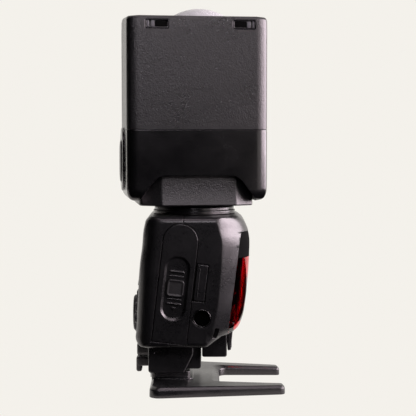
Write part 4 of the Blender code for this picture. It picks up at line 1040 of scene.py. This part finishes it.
# Black planes that the camera doesn't see keep the pale room out of the dark faces.
FLAGS = {
    "flag_front": [(-1.5, -0.95, 0.0), (0.45, -0.95, 0.0), (0.45, -0.95, 1.5), (-1.5, -0.95, 1.5)],
    "flag_top": [(-1.5, -0.95, 1.0), (1.1, -0.95, 1.0), (1.1, 0.1, 1.0), (-1.5, 0.1, 1.0)],
    "flag_left": [(-1.1, -0.95, 0.0), (-1.1, 0.9, 0.0), (-1.1, 0.9, 1.2), (-1.1, -0.95, 1.2)],
    "flag_floor": [(-1.1, -0.95, 0.001), (1.3, -0.95, 0.001), (1.3, 0.3, 0.001), (0.12, 0.3, 0.001),
                   (0.07, -0.0395, 0.001), (-0.8, -0.0395, 0.001), (-1.1, 0.6, 0.001)],
}
# Area lights: name, place, the point it aims at, size, watts and colour.
LIGHTS = (
    ("right_box", (0.73, -0.32, 0.40), (0.0, 0.0, 0.18), (0.45, 0.6), 9.5, LILAC),
    ("side_box", (0.85, 0.12, 0.34), (0.0, 0.0, 0.16), (0.6, 0.6), 10.5, LILAC),
    ("front_box", (0.02, -0.68, 0.37), (0.0, 0.0, 0.17), (0.16, 0.1), 0.7, COOL),
    ("top_box", (0.05, -0.35, 0.75), (0.0, 0.0, 0.12), (0.6, 0.25), 1.2, LILAC),
)
CAMERA_AT = (0.0075, -0.62, 0.1342)
CAMERA_LENS = 98.8
CAMERA_DIP = 3.5  # degrees below level


def stage_plane(name, outline, material, camera=True):
    mesh = bpy.data.meshes.new(name)
    mesh.from_pydata(outline, [], [tuple(range(len(outline)))])
    mesh.materials.append(material)
    plane = new_object(name, mesh)
    plane.visible_camera = camera


def flat_material(name, colour, glow):
    material = bpy.data.materials.new(name)
    material.use_nodes = True
    shader = material.node_tree.nodes["Principled BSDF"]
    shader.inputs["Base Color"].default_value = (*colour, 1.0)
    shader.inputs["Roughness"].default_value = 1.0
    shader.inputs["Specular IOR Level"].default_value = 0.0
    shader.inputs["Emission Color"].default_value = (*CREAM, 1.0)
    shader.inputs["Emission Strength"].default_value = glow
    return material


def area_light(name, place_at, target, size, power, colour):
    light = bpy.data.lights.new(name, "AREA")
    light.shape = "RECTANGLE"
    light.size, light.size_y = size
    light.energy = power
    light.color = colour
    thing = new_object(name, light)
    thing.location = place_at
    thing.rotation_euler = (Vector(target) - Vector(place_at)).to_track_quat("-Z", "Y").to_euler()


def make_studio():
    scene = bpy.context.scene
    scene.view_settings.view_transform = "Standard"
    world = bpy.data.worlds.new("studio")
    scene.world = world
    world.use_nodes = True
    background = world.node_tree.nodes["Background"]
    background.inputs["Color"].default_value = (*CREAM, 1.0)
    background.inputs["Strength"].default_value = 1.0
    floor = flat_material("floor_pale", (0.0, 0.0, 0.0), 1.0)
    stage_plane("floor", [(-30, -30, 0), (30, -30, 0), (30, 30, 0), (-30, 30, 0)], floor)
    flag = flat_material("flag_black", (0.002, 0.002, 0.002), 0.0)
    for name, outline in FLAGS.items():
        stage_plane(name, outline, flag, False)
    for light in LIGHTS:
        area_light(*light)


def make_camera():
    camera = bpy.data.cameras.new("camera")
    camera.sensor_width = 36.0
    camera.lens = CAMERA_LENS
    thing = new_object("camera", camera)
    thing.location = CAMERA_AT
    thing.rotation_euler = (math.radians(90 - CAMERA_DIP), 0.0, 0.0)
    bpy.context.scene.camera = thing


make_camera()
make_studio()
make_stand()
make_foot()
make_shells()
make_lamp()
make_door()
make_side_ports()
make_under_front()
make_rear_controls()
make_collar()
make_neck()
make_head()
finish_cad_nodes()
